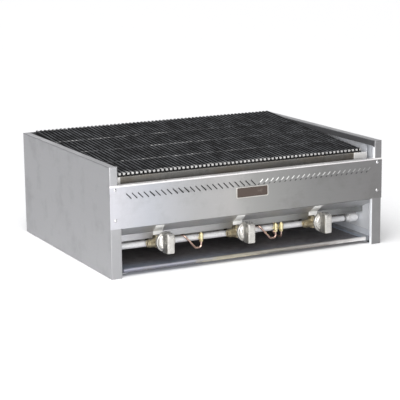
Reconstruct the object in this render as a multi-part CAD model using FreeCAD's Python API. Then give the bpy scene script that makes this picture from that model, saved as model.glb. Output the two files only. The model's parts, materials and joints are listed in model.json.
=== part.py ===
import FreeCAD, Part
import math
import os

# Counter-top radiant charbroiler, 36 in wide: folded stainless cabinet, six lift-out cast grates,
# three burners fed from one gas manifold under the front panel, and a slide-out drip tray.
# +X is the right-hand side seen from the front, +Y runs from the front to the back, +Z is up.
# The origin is at counter level, under the middle of the overall length and width.

V = FreeCAD.Vector
UP = V(0, 0, 1)
BACKWARD = V(0, 1, 0)
RIGHTWARD = V(1, 0, 0)
SMALLEST = 1e-6

# cabinet
WIDTH = 914.0
DEPTH = 699.0
HEIGHT = 326.0
SHEET = 1.5
INLET_REACH = 26.0
SCREW_HEAD_H = 2.4
HALF_W = WIDTH / 2
FRONT = -(DEPTH + INLET_REACH - SCREW_HEAD_H) / 2
BACK = FRONT + DEPTH
MIDDLE_Y = (FRONT + BACK) / 2
INNER_X = HALF_W - SHEET
BEND = 1.5
TOP_FLANGE = 23.5
TOP_LIP = 18.0
BOTTOM_FLANGE = 30.0
FLANGE_UPPER_X = 431.0
FLANGE_LOWER_X = 422.5
RETURN_LIP = 10.8
LEG_HOLE_R = 5.5
LEG_X = 441.0
LEG_REACH_Y = 300.0
BACK_FOLD_Z = 30.0
BACK_FOLD = 17.5
CUT_OVER = 1.0

# front panel and badge
PANEL_T = 1.2
PANEL_LOW = 146.0
PANEL_TOP = 272.0
LEDGE = 18.0
LEDGE_LIP = 7.0
LEDGE_HALF = 430.4
HEM_HALF = 418.0
HEM_BACK = 12.5
HEM_RISE = 4.0
HEM_GAP = 0.4
TIGHT_BEND = 1.0
HEM_BEND = 0.4
LOUVRE_LEAN = 45.0
SCREW_X = 440.5
SCREW_HEIGHTS = (259.0, 171.0)
SCREW_HEAD_R = 5.0
SCREW_SHANK_R = 2.4
SCREW_LENGTH = 9.0
LOUVRE_Z = 238.75
LOUVRE_LENGTH = 22.6
LOUVRE_SLOT = 3.6
LOUVRE_RISE = 2.2
LOUVRE_TAB = 1.0
LEFT_LOUVRES = (-398.5, 18.3, 23)
RIGHT_LOUVRES = (27.2, 18.0, 22)
BADGE_W = 107.0
BADGE_H = 33.0
BADGE_Z = 211.75
BADGE_T = 1.4
BADGE_RIM = 2.4
BADGE_RIM_RISE = 0.7
BADGE_CORNER = 4.0

# sloping heat deflector under the front panel
DEFLECTOR_HALF = 455.3
DEFLECTOR_START = FRONT + 13.0
DEFLECTOR_START_Z = 140.3
DEFLECTOR_Y = FRONT + 103.0
DEFLECTOR_BEND_Z = 101.0
DEFLECTOR_LOW_Z = 82.0
NOTCH_TOP = 11.0
NOTCH_LOW = 13.5
NOTCH_ROOF = 90.0
NOTCH_DEPTH = 8.0

# grates
BAR_PITCH = 13.63
BAR_TOP = 7.6
BAR_LOW = 5.2
BAR_H = 10.0
BAR_CHAMFER = 1.0
BARS_FULL = 11
BARS_NARROW = 8
GRATE_LENGTH = 598.6
GRATE_TILT = 4.19
GRATE_FRONT_Y = FRONT + 67.7
GRATE_FRONT_Z = 292.2
GRATES = 6
RIB_STATIONS = (10.0, 134.0, 280.0, 426.0, 588.6)
RIB_W = 6.0
RIB_DROP = 0.3
RIB_DEEP = 14.0
FREE_GAP = 0.3

# firebox
RAIL_HALF = 420.0
RAIL_Y = FRONT + 65.5
RAIL_TOP = 281.9
RAIL_FLANGE = 20.0
SHELF_Z = 150.0
SHELF_FLANGE = 30.0
REAR_Y = FRONT + 674.5
REAR_TOP = 324.4
REAR_FLANGE = 25.0
LINER_X = 444.0
LINER_TOP = 320.0
LINER_GAP = 0.2
TAB_X = 396.0
TAB_LOW = 262.0
TAB_T = 2.0
RADIANT_HALF = 105.0
RADIANT_PEAK = 52.0
RADIANT_T = 3.0
RADIANT_FRONT = FRONT + 74.5
RADIANT_BACK = FRONT + 665.5
RADIANT_SLOTS = 9
RADIANT_SLOT_W = 10.0
RADIANT_SLOT_IN = 25.0
RADIANT_SLOT_OUT = 80.0
RADIANT_BEND = 3.0
BURNER_PITCH = 267.0

# gas train
AXIS_Z = 82.0
PIPE_R = 9.5
PIPE_BORE_R = 6.8
PIPE_Y = FRONT + 125.0
PIPE_Z = 61.7
PIPE_LEFT = -436.0
PIPE_RIGHT = 424.0
SUPPLY_X = 437.0
FITTING_R = 14.0
FITTING_REACH = 22.0
FITTING_BEAD = 5.0
FITTING_BEAD_RISE = 0.6
SOCKET_DEPTH = 13.0
CAP_END = 5.0
CAP_LENGTH = 23.0
INLET_R = 13.35
INLET_END = BACK + INLET_REACH
INLET_HOLE_R = 17.5
INLET_BORE_R = 9.4
INLET_FLATS = 30.0
INLET_HEX = 22.0
INLET_FACE = 4.0
INLET_DEPTH = 8.0
HANGER_X = 400.0
HANGER_W = 6.0
HANGER_R = 11.5
HANGER_T = 2.0
HANGER_TOP = DEFLECTOR_BEND_Z - 6.0

# valves and jets
STEM_R = 4.0
STEM_FLAT = 1.2
STEM_PLAY = 0.05
STEM_FRONT = FRONT + 28.0
STEM_END = FRONT + 82.0
BARREL_R = 8.5
BARREL_FRONT = FRONT + 62.0
BARREL_BACK = FRONT + 86.0
BORE_END = FRONT + 84.0
BONNET_R = 7.5
BONNET_FRONT = FRONT + 50.0
COLLAR_FLATS = 21.0
COLLAR_Y = FRONT + 66.0
COLLAR_LENGTH = 9.0
BELLY_R = 12.0
BELLY_Y = FRONT + 97.0
BELLY_LOW = 57.0
PLUG_FLATS = 15.0
PLUG_LOW = 52.5
PORT_CAP_R = 11.0
PORT_CAP_Z = 67.5
PORT_CAP_OUT = 33.0
PORT_CAP_RIM = 5.0
PORT_BRANCH_R = 12.5
PORT_CAP_HOLE_R = 5.0
PORT_CAP_HOLE = 7.0
NECK_R = 6.9
NECK_BACK = FRONT + 139.0
INLET_BOSS_R = 6.6
OUTLET_R = 6.5
OUTLET_BACK = FRONT + 150.0
GAS_WAY_R = 2.5
HOOD_FRONT = FRONT + 141.0
HOOD_BACK = FRONT + 170.0
HOOD_FLATS = 16.0
HOOD_BORE_R = 4.0
HOOD_WALL = 4.0
ORIFICE_R = 1.3

# knobs
KNOB_SKIRT_R = 30.5
KNOB_FRONT = FRONT + 1.5
KNOB_SKIRT_FRONT = FRONT + 36.0
KNOB_CROWN_FRONT = FRONT + 30.0
KNOB_CROWN_R = 22.0
KNOB_BACK = FRONT + 44.0
KNOB_GRIP_H = 62.0
KNOB_GRIP_W = 27.0
KNOB_GRIP_TIP_W = 24.0
KNOB_TIP_CORNER = 4.0
KNOB_END_CORNER = 6.0
KNOB_FLUTE_R = 14.0
KNOB_FLUTE_X = 24.5
KNOB_FLUTE_Y = FRONT + 19.0
KNOB_RIM_W = 3.5
KNOB_RIM_DEPTH = 3.0
KNOB_ROOT = 4.0
KNOB_HUB_R = 9.0
KNOB_HUB = 8.0
KNOB_HUB_PROUD = 2.0

# burners
SPIGOT_R = 12.0
SPIGOT_BORE_R = 9.9
SPIGOT_FRONT = FRONT + 166.0
BELL_Y = FRONT + 174.0
BELL_R = 30.0
THROAT_Y = FRONT + 206.0
THROAT_R = 18.0
WALL = 4.0
HEAD_FRONT = FRONT + 240.0
HEAD_BACK = FRONT + 639.5
HEAD_HALF = 35.0
HEAD_LOW = 60.0
HEAD_TOP = 105.0
HEAD_CORNER = 9.0
PORT_R = 1.6
PORT_PITCH = 14.0
PORT_ROW = 22.0
WINDOW_R = 6.0
WINDOW_RING = 21.0
WINDOWS = 4
SHUTTER_R = 31.0
SHUTTER_T = 1.9
LEVER_HALF = 5.0
LEVER_DROP = 7.0
LEVER_ROOT = 3.0
SUPPORT_HALF = 455.3
SUPPORT_WEB = 2.0
SUPPORT_LOW = 32.0
FRONT_SUPPORT_Y = FRONT + 206.0
REAR_SUPPORT_Y = FRONT + 625.5
SUPPORT_SHELF = 26.0
SUPPORT_CLEARANCE = 2.0

# pilots
PILOT_Y = FRONT + 104.0
PILOT_XS = (-118.5, 138.5, 158.5)
PILOT_TUBE_R = 3.2
PILOT_TUBE_BORE_R = 2.3
PILOT_BEND_R = 9.0
PILOT_RUN_Z = 76.5
PILOT_LOOP_Z = 33.5
PILOT_LOOP_W = 19.0
PILOT_SWEEP = 57.0
PILOT_UNDER = 48.0
PILOT_TUBE_TOP = PIPE_Z - 5.5
PILOT_PORT_Z = PIPE_Z - 1.0
PILOT_BODY_R = 7.0
PILOT_BODY_LOW = PIPE_Z - 2.5
PILOT_BODY_TOP = PIPE_Z + 16.0
PILOT_STUB_R = 4.2
PILOT_WAY_R = 1.5
PILOT_NUT_FLATS = 11.0
PILOT_NUT_LOW = PIPE_Z - 9.5
PILOT_NUT_H = 8.0
PILOT_SHOULDER_Y = PILOT_Y + 4.0
PILOT_SHOULDER = 5.0
PILOT_SCREW_R = 3.5
PILOT_SCREW_TOP = PIPE_Z + 19.0
PILOT_SLOT_HALF = 0.6
PILOT_SLOT_DEEP = 1.5
PILOT_TIP_Y = FRONT + 254.5
PILOT_TIP_SIDE = 48.0
PILOT_TIP_R = 5.5
PILOT_TIP_LOW = PILOT_RUN_Z + 9.5
PILOT_TIP_H = 26.0
PILOT_TIP_SOCKET = 4.5
PILOT_FLAME_R = 1.2
PILOT_FLAME_Z = PILOT_TIP_LOW + 22.0
BRACKET_HALF = 5.0
BRACKET_Z = PILOT_TIP_LOW + 5.0
BRACKET_T = 2.0

# drip tray
TRAY_HALF = 412.0
TRAY_FRONT = FRONT + 15.0
TRAY_BACK = FRONT + 649.5
TRAY_LOW = 11.5
TRAY_WALL_TOP = 20.5
TRAY_LIP_TOP = 22.5
TRAY_BEAD = 8.0
TRAY_BEAD_BEND = 0.5
TRAY_BEAD_LOW = 16.5
TRAY_STEP = 2.2
TRAY_HEM = 12.0
TRAY_T = 1.2
RUNNER_LOW = 9.5
RUNNER_TOP = 30.0
RUNNER_IN = 400.0
RUNNER_FRONT = FRONT + 18.0
RUNNER_BACK = FRONT + 679.5


def box(x0, x1, y0, y1, z0, z1):
    """Block between two opposite corners."""
    return Part.makeBox(x1 - x0, y1 - y0, z1 - z0, V(x0, y0, z0))


def rod(radius, start, direction, length):
    """Round bar from a start point."""
    return Part.makeCylinder(radius, length, start, direction)


def y_rod(radius, x, z, y0, y1):
    """Round bar running front to back."""
    return rod(radius, V(x, y0, z), BACKWARD, y1 - y0)


def z_rod(radius, x, y, z0, z1):
    """Upright round bar."""
    return rod(radius, V(x, y, z0), UP, z1 - z0)


def y_tube(radius, bore, x, z, y0, y1):
    """Round tube running front to back."""
    return y_rod(radius, x, z, y0, y1).cut(y_rod(bore, x, z, y0, y1))


def y_cone(radius0, radius1, x, z, y0, y1):
    """Tapered round bar running front to back."""
    return Part.makeCone(radius0, radius1, y1 - y0, V(x, y0, z), BACKWARD)


def hex_bar(flats, start, direction, length):
    """Hexagon bar measured across its flats."""
    side = flats / math.sqrt(3)
    bar = Part.Face(Part.makePolygon([V(side * math.cos(math.radians(60 * k)),
                                        side * math.sin(math.radians(60 * k)), 0) for k in range(7)]))
    bar = bar.extrude(V(0, 0, length))
    bar.Placement = FreeCAD.Placement(start, FreeCAD.Rotation(UP, direction))
    return bar


def join(shapes):
    """One clean solid from touching or overlapping shapes."""
    return shapes[0].fuse(shapes[1:]).removeSplitter()


def mirrored(shape):
    """The same piece for the other side of the cabinet."""
    return shape.mirror(V(0, 0, 0), RIGHTWARD)


def on_plane(plane, a, b, level):
    """Point given in one of the three main planes, at a level on the third axis."""
    points = {"YZ": V(level, a, b), "XZ": V(a, level, b), "XY": V(a, b, level)}
    return points[plane]


def unit(a, b):
    """Unit direction from a to b in two dimensions."""
    span = math.hypot(b[0] - a[0], b[1] - a[1])
    return ((b[0] - a[0]) / span, (b[1] - a[1]) / span)


def rounded_face(plane, corners, radii, level):
    """Flat face with each corner rounded by its own radius; zero keeps it sharp."""
    edges = []
    exits = []
    entries = []
    for k, corner in enumerate(corners):
        before = unit(corner, corners[k - 1])
        after = unit(corner, corners[(k + 1) % len(corners)])
        if radii[k] == 0:
            entries.append(corner)
            exits.append(corner)
            continue
        dot = before[0] * after[0] + before[1] * after[1]
        half = math.acos(max(-1.0, min(1.0, dot))) / 2
        reach = radii[k] / math.tan(half)
        start = (corner[0] + before[0] * reach, corner[1] + before[1] * reach)
        stop = (corner[0] + after[0] * reach, corner[1] + after[1] * reach)
        bisector = unit((0, 0), (before[0] + after[0], before[1] + after[1]))
        middle_reach = radii[k] / math.sin(half) - radii[k]
        middle = (corner[0] + bisector[0] * middle_reach, corner[1] + bisector[1] * middle_reach)
        arc = Part.Arc(on_plane(plane, start[0], start[1], level),
                       on_plane(plane, middle[0], middle[1], level),
                       on_plane(plane, stop[0], stop[1], level))
        edges.append(arc.toShape())
        entries.append(start)
        exits.append(stop)
    for k in range(len(corners)):
        start = exits[k]
        stop = entries[(k + 1) % len(corners)]
        if math.hypot(stop[0] - start[0], stop[1] - start[1]) < SMALLEST:
            continue
        line = Part.LineSegment(on_plane(plane, start[0], start[1], level),
                                on_plane(plane, stop[0], stop[1], level))
        edges.append(line.toShape())
    return Part.Face(Part.Wire(Part.__sortEdges__(edges)))


def sheet_outline(path, thickness, bend):
    """Corners and radii of a bent strip; the sheet lies to the left of the path."""
    left = []
    path_radii = []
    left_radii = []
    for k, point in enumerate(path):
        into = unit(path[k - 1], point) if k > 0 else unit(point, path[k + 1])
        out = unit(point, path[k + 1]) if k < len(path) - 1 else into
        turn = into[0] * out[1] - into[1] * out[0]
        normal = (-into[1] - out[1], into[0] + out[0])
        scale = thickness * 2 / (normal[0] ** 2 + normal[1] ** 2)
        left.append((point[0] + normal[0] * scale, point[1] + normal[1] * scale))
        straight = abs(turn) < SMALLEST
        path_radii.append(0 if straight else (bend + thickness if turn > 0 else bend))
        left_radii.append(0 if straight else (bend if turn > 0 else bend + thickness))
    return path + left[::-1], path_radii + left_radii[::-1]


def bent_sheet(plane, path, thickness, start, stop, bend=BEND):
    """Folded sheet: a bent strip pushed along the axis square to its plane."""
    corners, radii = sheet_outline(path, thickness, bend)
    push = on_plane(plane, 0, 0, stop - start)
    return rounded_face(plane, corners, radii, start).extrude(push)


def bent_tube(points, radius, bore, bend):
    """Round tube of straight runs joined by tangent arcs through the corner points."""
    edges = []
    start = points[0]
    for k in range(1, len(points) - 1):
        corner = points[k]
        back = (points[k - 1] - corner).normalize()
        ahead = (points[k + 1] - corner).normalize()
        half = back.getAngle(ahead) / 2
        reach = bend / math.tan(half)
        enter = corner + back * reach
        leave = corner + ahead * reach
        middle = corner + (back + ahead).normalize() * (bend / math.sin(half) - bend)
        edges.append(Part.LineSegment(start, enter).toShape())
        edges.append(Part.Arc(enter, middle, leave).toShape())
        start = leave
    edges.append(Part.LineSegment(start, points[-1]).toShape())
    spine = Part.Wire(edges)
    heading = points[1] - points[0]
    outer = Part.Wire(Part.makeCircle(radius, points[0], heading))
    inner = Part.Wire(Part.makeCircle(bore, points[0], heading))
    return spine.makePipe(Part.Face(outer)).cut(spine.makePipe(Part.Face(inner)))


def burner_positions():
    """Middle of each of the three burner zones."""
    return (-BURNER_PITCH, 0.0, BURNER_PITCH)


def side_panel():
    """Right-hand side wall with its folded top, front and bottom flanges."""
    fold = BEND + SHEET
    flange_y = FRONT + PANEL_T
    section = [(HALF_W - BOTTOM_FLANGE, 0), (HALF_W, 0), (HALF_W, HEIGHT), (HALF_W - TOP_FLANGE, HEIGHT),
               (HALF_W - TOP_FLANGE, HEIGHT - TOP_LIP)]
    wall = bent_sheet("XZ", section, SHEET, flange_y + fold, BACK - SHEET)
    cap = box(HALF_W - TOP_FLANGE, HALF_W - fold, flange_y + SHEET, flange_y + fold, HEIGHT - SHEET, HEIGHT)
    pieces = [wall, cap]
    for inner, low, high in ((FLANGE_LOWER_X, 0, PANEL_LOW), (FLANGE_UPPER_X, PANEL_LOW, HEIGHT)):
        path = [(inner, flange_y + RETURN_LIP), (inner, flange_y), (HALF_W, flange_y),
                (HALF_W, flange_y + fold)]
        pieces.append(bent_sheet("XY", path, SHEET, low, high))
    shape = join(pieces)
    for y in (MIDDLE_Y - LEG_REACH_Y, MIDDLE_Y + LEG_REACH_Y):
        shape = shape.cut(z_rod(LEG_HOLE_R, LEG_X, y, -SHEET, 2 * SHEET))
    for z in SCREW_HEIGHTS:
        shape = shape.cut(y_rod(SCREW_SHANK_R, SCREW_X, z, FRONT, FRONT + SCREW_LENGTH))
    return shape


def back_panel():
    """Flat rear sheet with a stiffening fold along its lower edge and the hole for the gas inlet."""
    path = [(BACK - BACK_FOLD, BACK_FOLD_Z), (BACK, BACK_FOLD_Z), (BACK, HEIGHT)]
    folded = bent_sheet("YZ", path, SHEET, -LEDGE_HALF + BOTTOM_FLANGE, LEDGE_HALF - BOTTOM_FLANGE)
    plate = box(-HALF_W, HALF_W, BACK - SHEET, BACK, BACK_FOLD_Z + BEND + SHEET, HEIGHT)
    inlet_hole = y_rod(INLET_HOLE_R, SUPPLY_X, PIPE_Z, BACK - 2 * SHEET, BACK + SHEET)
    return join([plate, folded]).cut(inlet_hole)


def louvre_parts(x, lean):
    """Slot cutter and raised hood for one slanted louvre; lean is -1 for the left group, 1 for the right."""
    reach = LOUVRE_LENGTH / 2
    half = LOUVRE_SLOT / 2
    slot = box(-reach, reach, -SHEET, 2 * SHEET, -half, half)
    outline = [V(0, PANEL_T, half + LOUVRE_TAB), V(0, 0, half + LOUVRE_TAB), V(0, -LOUVRE_RISE, -half),
               V(0, LOUVRE_TAB - LOUVRE_RISE, -half), V(0, PANEL_T, half), V(0, PANEL_T, half + LOUVRE_TAB)]
    hood = Part.Face(Part.makePolygon(outline)).extrude(V(2 * reach - LOUVRE_TAB, 0, 0))
    hood.translate(V(LOUVRE_TAB / 2 - reach, 0, 0))
    for part in (slot, hood):
        part.rotate(V(0, 0, 0), V(0, -1, 0), LOUVRE_LEAN * lean)
        part.translate(V(x, FRONT, LOUVRE_Z))
    return slot, hood


def front_panel():
    """Stainless front sheet with its ledge, its turned-under lower hem and the two groups of louvres."""
    path = [(FRONT + LEDGE, PANEL_TOP - LEDGE_LIP), (FRONT + LEDGE, PANEL_TOP), (FRONT, PANEL_TOP),
            (FRONT, PANEL_LOW)]
    ledge = bent_sheet("YZ", path, PANEL_T, -LEDGE_HALF, LEDGE_HALF, bend=TIGHT_BEND)
    hem_path = [(FRONT, PANEL_LOW + HEM_RISE), (FRONT, PANEL_LOW),
                (FRONT + HEM_BACK, DEFLECTOR_START_Z + HEM_GAP)]
    hem = bent_sheet("YZ", hem_path, PANEL_T, -HEM_HALF, HEM_HALF, bend=HEM_BEND)
    ends = [box(-HALF_W, -LEDGE_HALF, FRONT, FRONT + PANEL_T, PANEL_LOW, PANEL_TOP),
            box(LEDGE_HALF, HALF_W, FRONT, FRONT + PANEL_T, PANEL_LOW, PANEL_TOP)]
    shape = join([ledge, hem] + ends)
    slots = []
    hoods = []
    for first, pitch, count, lean in (LEFT_LOUVRES + (-1,), RIGHT_LOUVRES + (1,)):
        for k in range(count):
            slot, hood = louvre_parts(first + k * pitch, lean)
            slots.append(slot)
            hoods.append(hood)
    for x in (-SCREW_X, SCREW_X):
        for z in SCREW_HEIGHTS:
            slots.append(y_rod(SCREW_SHANK_R, x, z, FRONT - SHEET, FRONT + 2 * SHEET))
    return join([shape.cut(slots)] + hoods)


def badge_outline(half_w, half_h, corner, y0, y1):
    """Rounded rectangular plate centred on the badge position."""
    corners = [(-half_w, BADGE_Z - half_h), (half_w, BADGE_Z - half_h), (half_w, BADGE_Z + half_h),
               (-half_w, BADGE_Z + half_h)]
    return rounded_face("XZ", corners, [corner] * 4, y0).extrude(V(0, y1 - y0, 0))


def badge_plate():
    """Enamelled badge field, left plain."""
    return badge_outline(BADGE_W / 2 - BADGE_RIM, BADGE_H / 2 - BADGE_RIM, BADGE_CORNER - BADGE_RIM / 2,
                         FRONT - BADGE_T, FRONT)


def badge_rim():
    """Bright frame pressed round the badge field."""
    outer = badge_outline(BADGE_W / 2, BADGE_H / 2, BADGE_CORNER, FRONT - BADGE_T - BADGE_RIM_RISE, FRONT)
    inner = badge_outline(BADGE_W / 2 - BADGE_RIM, BADGE_H / 2 - BADGE_RIM, BADGE_CORNER - BADGE_RIM / 2,
                          FRONT - 2 * BADGE_T, FRONT + BADGE_T)
    return outer.cut(inner)


def panel_screw(x, z):
    """Dome-head screw holding the front panel to a side flange."""
    dome_r = (SCREW_HEAD_R ** 2 + SCREW_HEAD_H ** 2) / (2 * SCREW_HEAD_H)
    ball = Part.makeSphere(dome_r, V(x, FRONT + dome_r - SCREW_HEAD_H, z))
    head = ball.common(y_rod(SCREW_HEAD_R + CUT_OVER, x, z, FRONT - SCREW_HEAD_H - CUT_OVER, FRONT))
    shank = y_rod(SCREW_SHANK_R, x, z, FRONT, FRONT + SCREW_LENGTH)
    return join([head, shank])


def panel_screws():
    """The four front-panel screws."""
    return Part.makeCompound([panel_screw(x, z) for x in (-SCREW_X, SCREW_X) for z in SCREW_HEIGHTS])


def heat_deflector():
    """Sloping sheet that keeps the fire away from the valves, notched over each valve."""
    path = [(DEFLECTOR_START, DEFLECTOR_START_Z), (DEFLECTOR_Y, DEFLECTOR_BEND_Z),
            (DEFLECTOR_Y, DEFLECTOR_LOW_Z)]
    shape = bent_sheet("YZ", path, SHEET, -DEFLECTOR_HALF, DEFLECTOR_HALF, bend=TIGHT_BEND)
    start = DEFLECTOR_Y - NOTCH_DEPTH
    for x in burner_positions():
        corners = [V(x - NOTCH_LOW, start, DEFLECTOR_LOW_Z - CUT_OVER),
                   V(x + NOTCH_LOW, start, DEFLECTOR_LOW_Z - CUT_OVER),
                   V(x + NOTCH_TOP, start, NOTCH_ROOF),
                   V(x - NOTCH_TOP, start, NOTCH_ROOF)]
        notch = Part.Face(Part.makePolygon(corners + corners[:1]))
        shape = shape.cut(notch.extrude(V(0, 2 * NOTCH_DEPTH, 0)))
    return shape


def firebox_front():
    """Front firebox channel: grate rail on top, radiant shelf below."""
    path = [(RAIL_Y + SHELF_FLANGE, SHELF_Z), (RAIL_Y, SHELF_Z), (RAIL_Y, RAIL_TOP),
            (RAIL_Y + RAIL_FLANGE, RAIL_TOP)]
    return bent_sheet("YZ", path[::-1], SHEET, -RAIL_HALF, RAIL_HALF)


def firebox_rear():
    """Rear firebox channel: grate rail on top, radiant shelf below."""
    path = [(REAR_Y - SHELF_FLANGE, SHELF_Z), (REAR_Y, SHELF_Z), (REAR_Y, REAR_TOP),
            (REAR_Y - REAR_FLANGE, REAR_TOP)]
    return bent_sheet("YZ", path, SHEET, -RAIL_HALF, RAIL_HALF)


def firebox_liner():
    """Right-hand firebox liner, spaced off the side wall by its two flanges."""
    wall = INNER_X - LINER_GAP
    path = [(wall, SHELF_Z), (LINER_X, SHELF_Z), (LINER_X, LINER_TOP), (wall, LINER_TOP)]
    return bent_sheet("XZ", path[::-1], SHEET, RAIL_Y, REAR_Y)


def rail_tabs():
    """Bright end tabs that tie the front grate rail to the liners."""
    tab = box(TAB_X, LINER_X, RAIL_Y - TAB_T, RAIL_Y, TAB_LOW, RAIL_TOP)
    return Part.makeCompound([tab, mirrored(tab)])


def grate(first_bar, bars):
    """One cast grate section: tapered bars front to back, cast-in cross ribs."""
    middle = (BARS_NARROW + (GRATES - 1) * BARS_FULL - 1) / 2
    xs = [(first_bar + k - middle) * BAR_PITCH for k in range(bars)]
    half = BAR_TOP / 2
    solids = []
    for x in xs:
        outline = [V(x - half, 0, -BAR_CHAMFER), V(x - half + BAR_CHAMFER, 0, 0),
                   V(x + half - BAR_CHAMFER, 0, 0), V(x + half, 0, -BAR_CHAMFER),
                   V(x + BAR_LOW / 2, 0, -BAR_H), V(x - BAR_LOW / 2, 0, -BAR_H)]
        solids.append(Part.Face(Part.makePolygon(outline + outline[:1])).extrude(V(0, GRATE_LENGTH, 0)))
    for station in RIB_STATIONS:
        at_end = station in (RIB_STATIONS[0], RIB_STATIONS[-1])
        low = BAR_H if at_end else RIB_DEEP
        solids.append(box(xs[0], xs[-1], station - RIB_W / 2, station + RIB_W / 2, -low, -RIB_DROP))
    shape = join(solids)
    shape.rotate(V(0, 0, 0), RIGHTWARD, GRATE_TILT)
    shape.translate(V(0, GRATE_FRONT_Y, GRATE_FRONT_Z))
    return shape


def radiant(x):
    """Folded steel radiant standing over one burner, slotted on both slopes."""
    low = SHELF_Z + SHEET
    path = [(x + RADIANT_HALF, low), (x, low + RADIANT_PEAK), (x - RADIANT_HALF, low)]
    shape = bent_sheet("XZ", path, RADIANT_T, RADIANT_FRONT, RADIANT_BACK, bend=RADIANT_BEND)
    below = box(x - 2 * RADIANT_HALF, x + 2 * RADIANT_HALF, RADIANT_FRONT - CUT_OVER, RADIANT_BACK + CUT_OVER,
                low - 2 * RADIANT_T, low)
    cutters = [below]
    span = (RADIANT_BACK - RADIANT_FRONT) / RADIANT_SLOTS
    for k in range(RADIANT_SLOTS):
        y = RADIANT_FRONT + (k + 0.5) * span
        for side in (-1, 1):
            ends = sorted((x + side * RADIANT_SLOT_IN, x + side * RADIANT_SLOT_OUT))
            cutters.append(box(ends[0], ends[1], y - RADIANT_SLOT_W / 2, y + RADIANT_SLOT_W / 2,
                               low, low + 2 * RADIANT_PEAK))
    return shape.cut(cutters)


def window_cutters(x, y0, y1):
    """Air windows round a burner mouth."""
    cutters = []
    for k in range(WINDOWS):
        angle = 2 * math.pi * k / WINDOWS
        window_x = x + WINDOW_RING * math.cos(angle)
        window_z = AXIS_Z + WINDOW_RING * math.sin(angle)
        cutters.append(y_rod(WINDOW_R, window_x, window_z, y0, y1))
    return cutters


def burner(x):
    """Cast burner: mouth with air windows, venturi, and a long ported head."""
    head = box(x - HEAD_HALF, x + HEAD_HALF, HEAD_FRONT, HEAD_BACK, HEAD_LOW, HEAD_TOP)
    long_edges = [e for e in head.Edges if abs(e.tangentAt(e.FirstParameter).y) > 0.9]
    head = head.makeFillet(HEAD_CORNER, long_edges)
    bell = y_cone(BELL_R, THROAT_R + WALL, x, AXIS_Z, BELL_Y, THROAT_Y)
    neck = y_cone(THROAT_R + WALL, THROAT_R, x, AXIS_Z, THROAT_Y, HEAD_FRONT + 2 * WALL)
    spigot = y_rod(SPIGOT_R, x, AXIS_Z, SPIGOT_FRONT, BELL_Y + WALL)
    shell = join([head, bell, neck, spigot])
    cavity = box(x - HEAD_HALF + WALL, x + HEAD_HALF - WALL, HEAD_FRONT + WALL, HEAD_BACK - WALL,
                 HEAD_LOW + WALL, HEAD_TOP - WALL)
    bell_bore = y_cone(BELL_R - WALL, THROAT_R, x, AXIS_Z, BELL_Y + WALL, THROAT_Y)
    neck_bore = y_rod(THROAT_R - WALL, x, AXIS_Z, THROAT_Y - CUT_OVER, HEAD_FRONT + 2 * WALL)
    spigot_bore = y_rod(SPIGOT_BORE_R, x, AXIS_Z, SPIGOT_FRONT - CUT_OVER, BELL_Y + 2 * WALL)
    cutters = [cavity, bell_bore, neck_bore, spigot_bore]
    cutters += window_cutters(x, BELL_Y - CUT_OVER, BELL_Y + WALL + CUT_OVER)
    rows = int((HEAD_BACK - HEAD_FRONT - 4 * WALL) / PORT_PITCH)
    for k in range(rows):
        y = HEAD_FRONT + 3 * WALL + k * PORT_PITCH
        for row_x in (x - PORT_ROW, x + PORT_ROW):
            cutters.append(z_rod(PORT_R, row_x, y, HEAD_TOP - 2 * WALL, HEAD_TOP + CUT_OVER))
    return shell.cut(cutters)


def air_shutter(x):
    """Turning disc that opens and closes the air windows of one burner."""
    back = BELL_Y - FREE_GAP
    front = back - SHUTTER_T
    disc = y_rod(SHUTTER_R, x, AXIS_Z, front, back)
    rim = AXIS_Z - SHUTTER_R
    lever = box(x - LEVER_HALF, x + LEVER_HALF, front, back, rim - LEVER_DROP, rim + LEVER_ROOT)
    hole = y_rod(SPIGOT_R + STEM_PLAY, x, AXIS_Z, front - CUT_OVER, back + CUT_OVER)
    return join([disc, lever]).cut([hole] + window_cutters(x, front - CUT_OVER, back + CUT_OVER))


def burner_support(y, high):
    """Cross angle with a shelf under the burners, cut away round the supply pipe."""
    path = [(y + SUPPORT_SHELF, high), (y, high), (y, SUPPORT_LOW)]
    shape = bent_sheet("YZ", path, SUPPORT_WEB, -SUPPORT_HALF, SUPPORT_HALF)
    clearance = PIPE_R + SUPPORT_CLEARANCE
    return shape.cut(box(SUPPLY_X - clearance, SUPPLY_X + clearance, y - CUT_OVER,
                         y + SUPPORT_SHELF + CUT_OVER, PIPE_Z - clearance, high + CUT_OVER))


def side_port_cap(x):
    """Round side branch of a valve, pointing left, with a cap on its end and a blind hole in the cap."""
    end = x - PORT_CAP_OUT
    rim = rod(PORT_CAP_R, V(end, BELLY_Y, PORT_CAP_Z), RIGHTWARD, PORT_CAP_OUT)
    branch = rod(PORT_BRANCH_R, V(end + PORT_CAP_RIM, BELLY_Y, PORT_CAP_Z), RIGHTWARD,
                 PORT_CAP_OUT - PORT_CAP_RIM)
    hole = rod(PORT_CAP_HOLE_R, V(end - CUT_OVER, BELLY_Y, PORT_CAP_Z), RIGHTWARD, PORT_CAP_HOLE)
    return join([rim, branch]).cut(hole)


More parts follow.
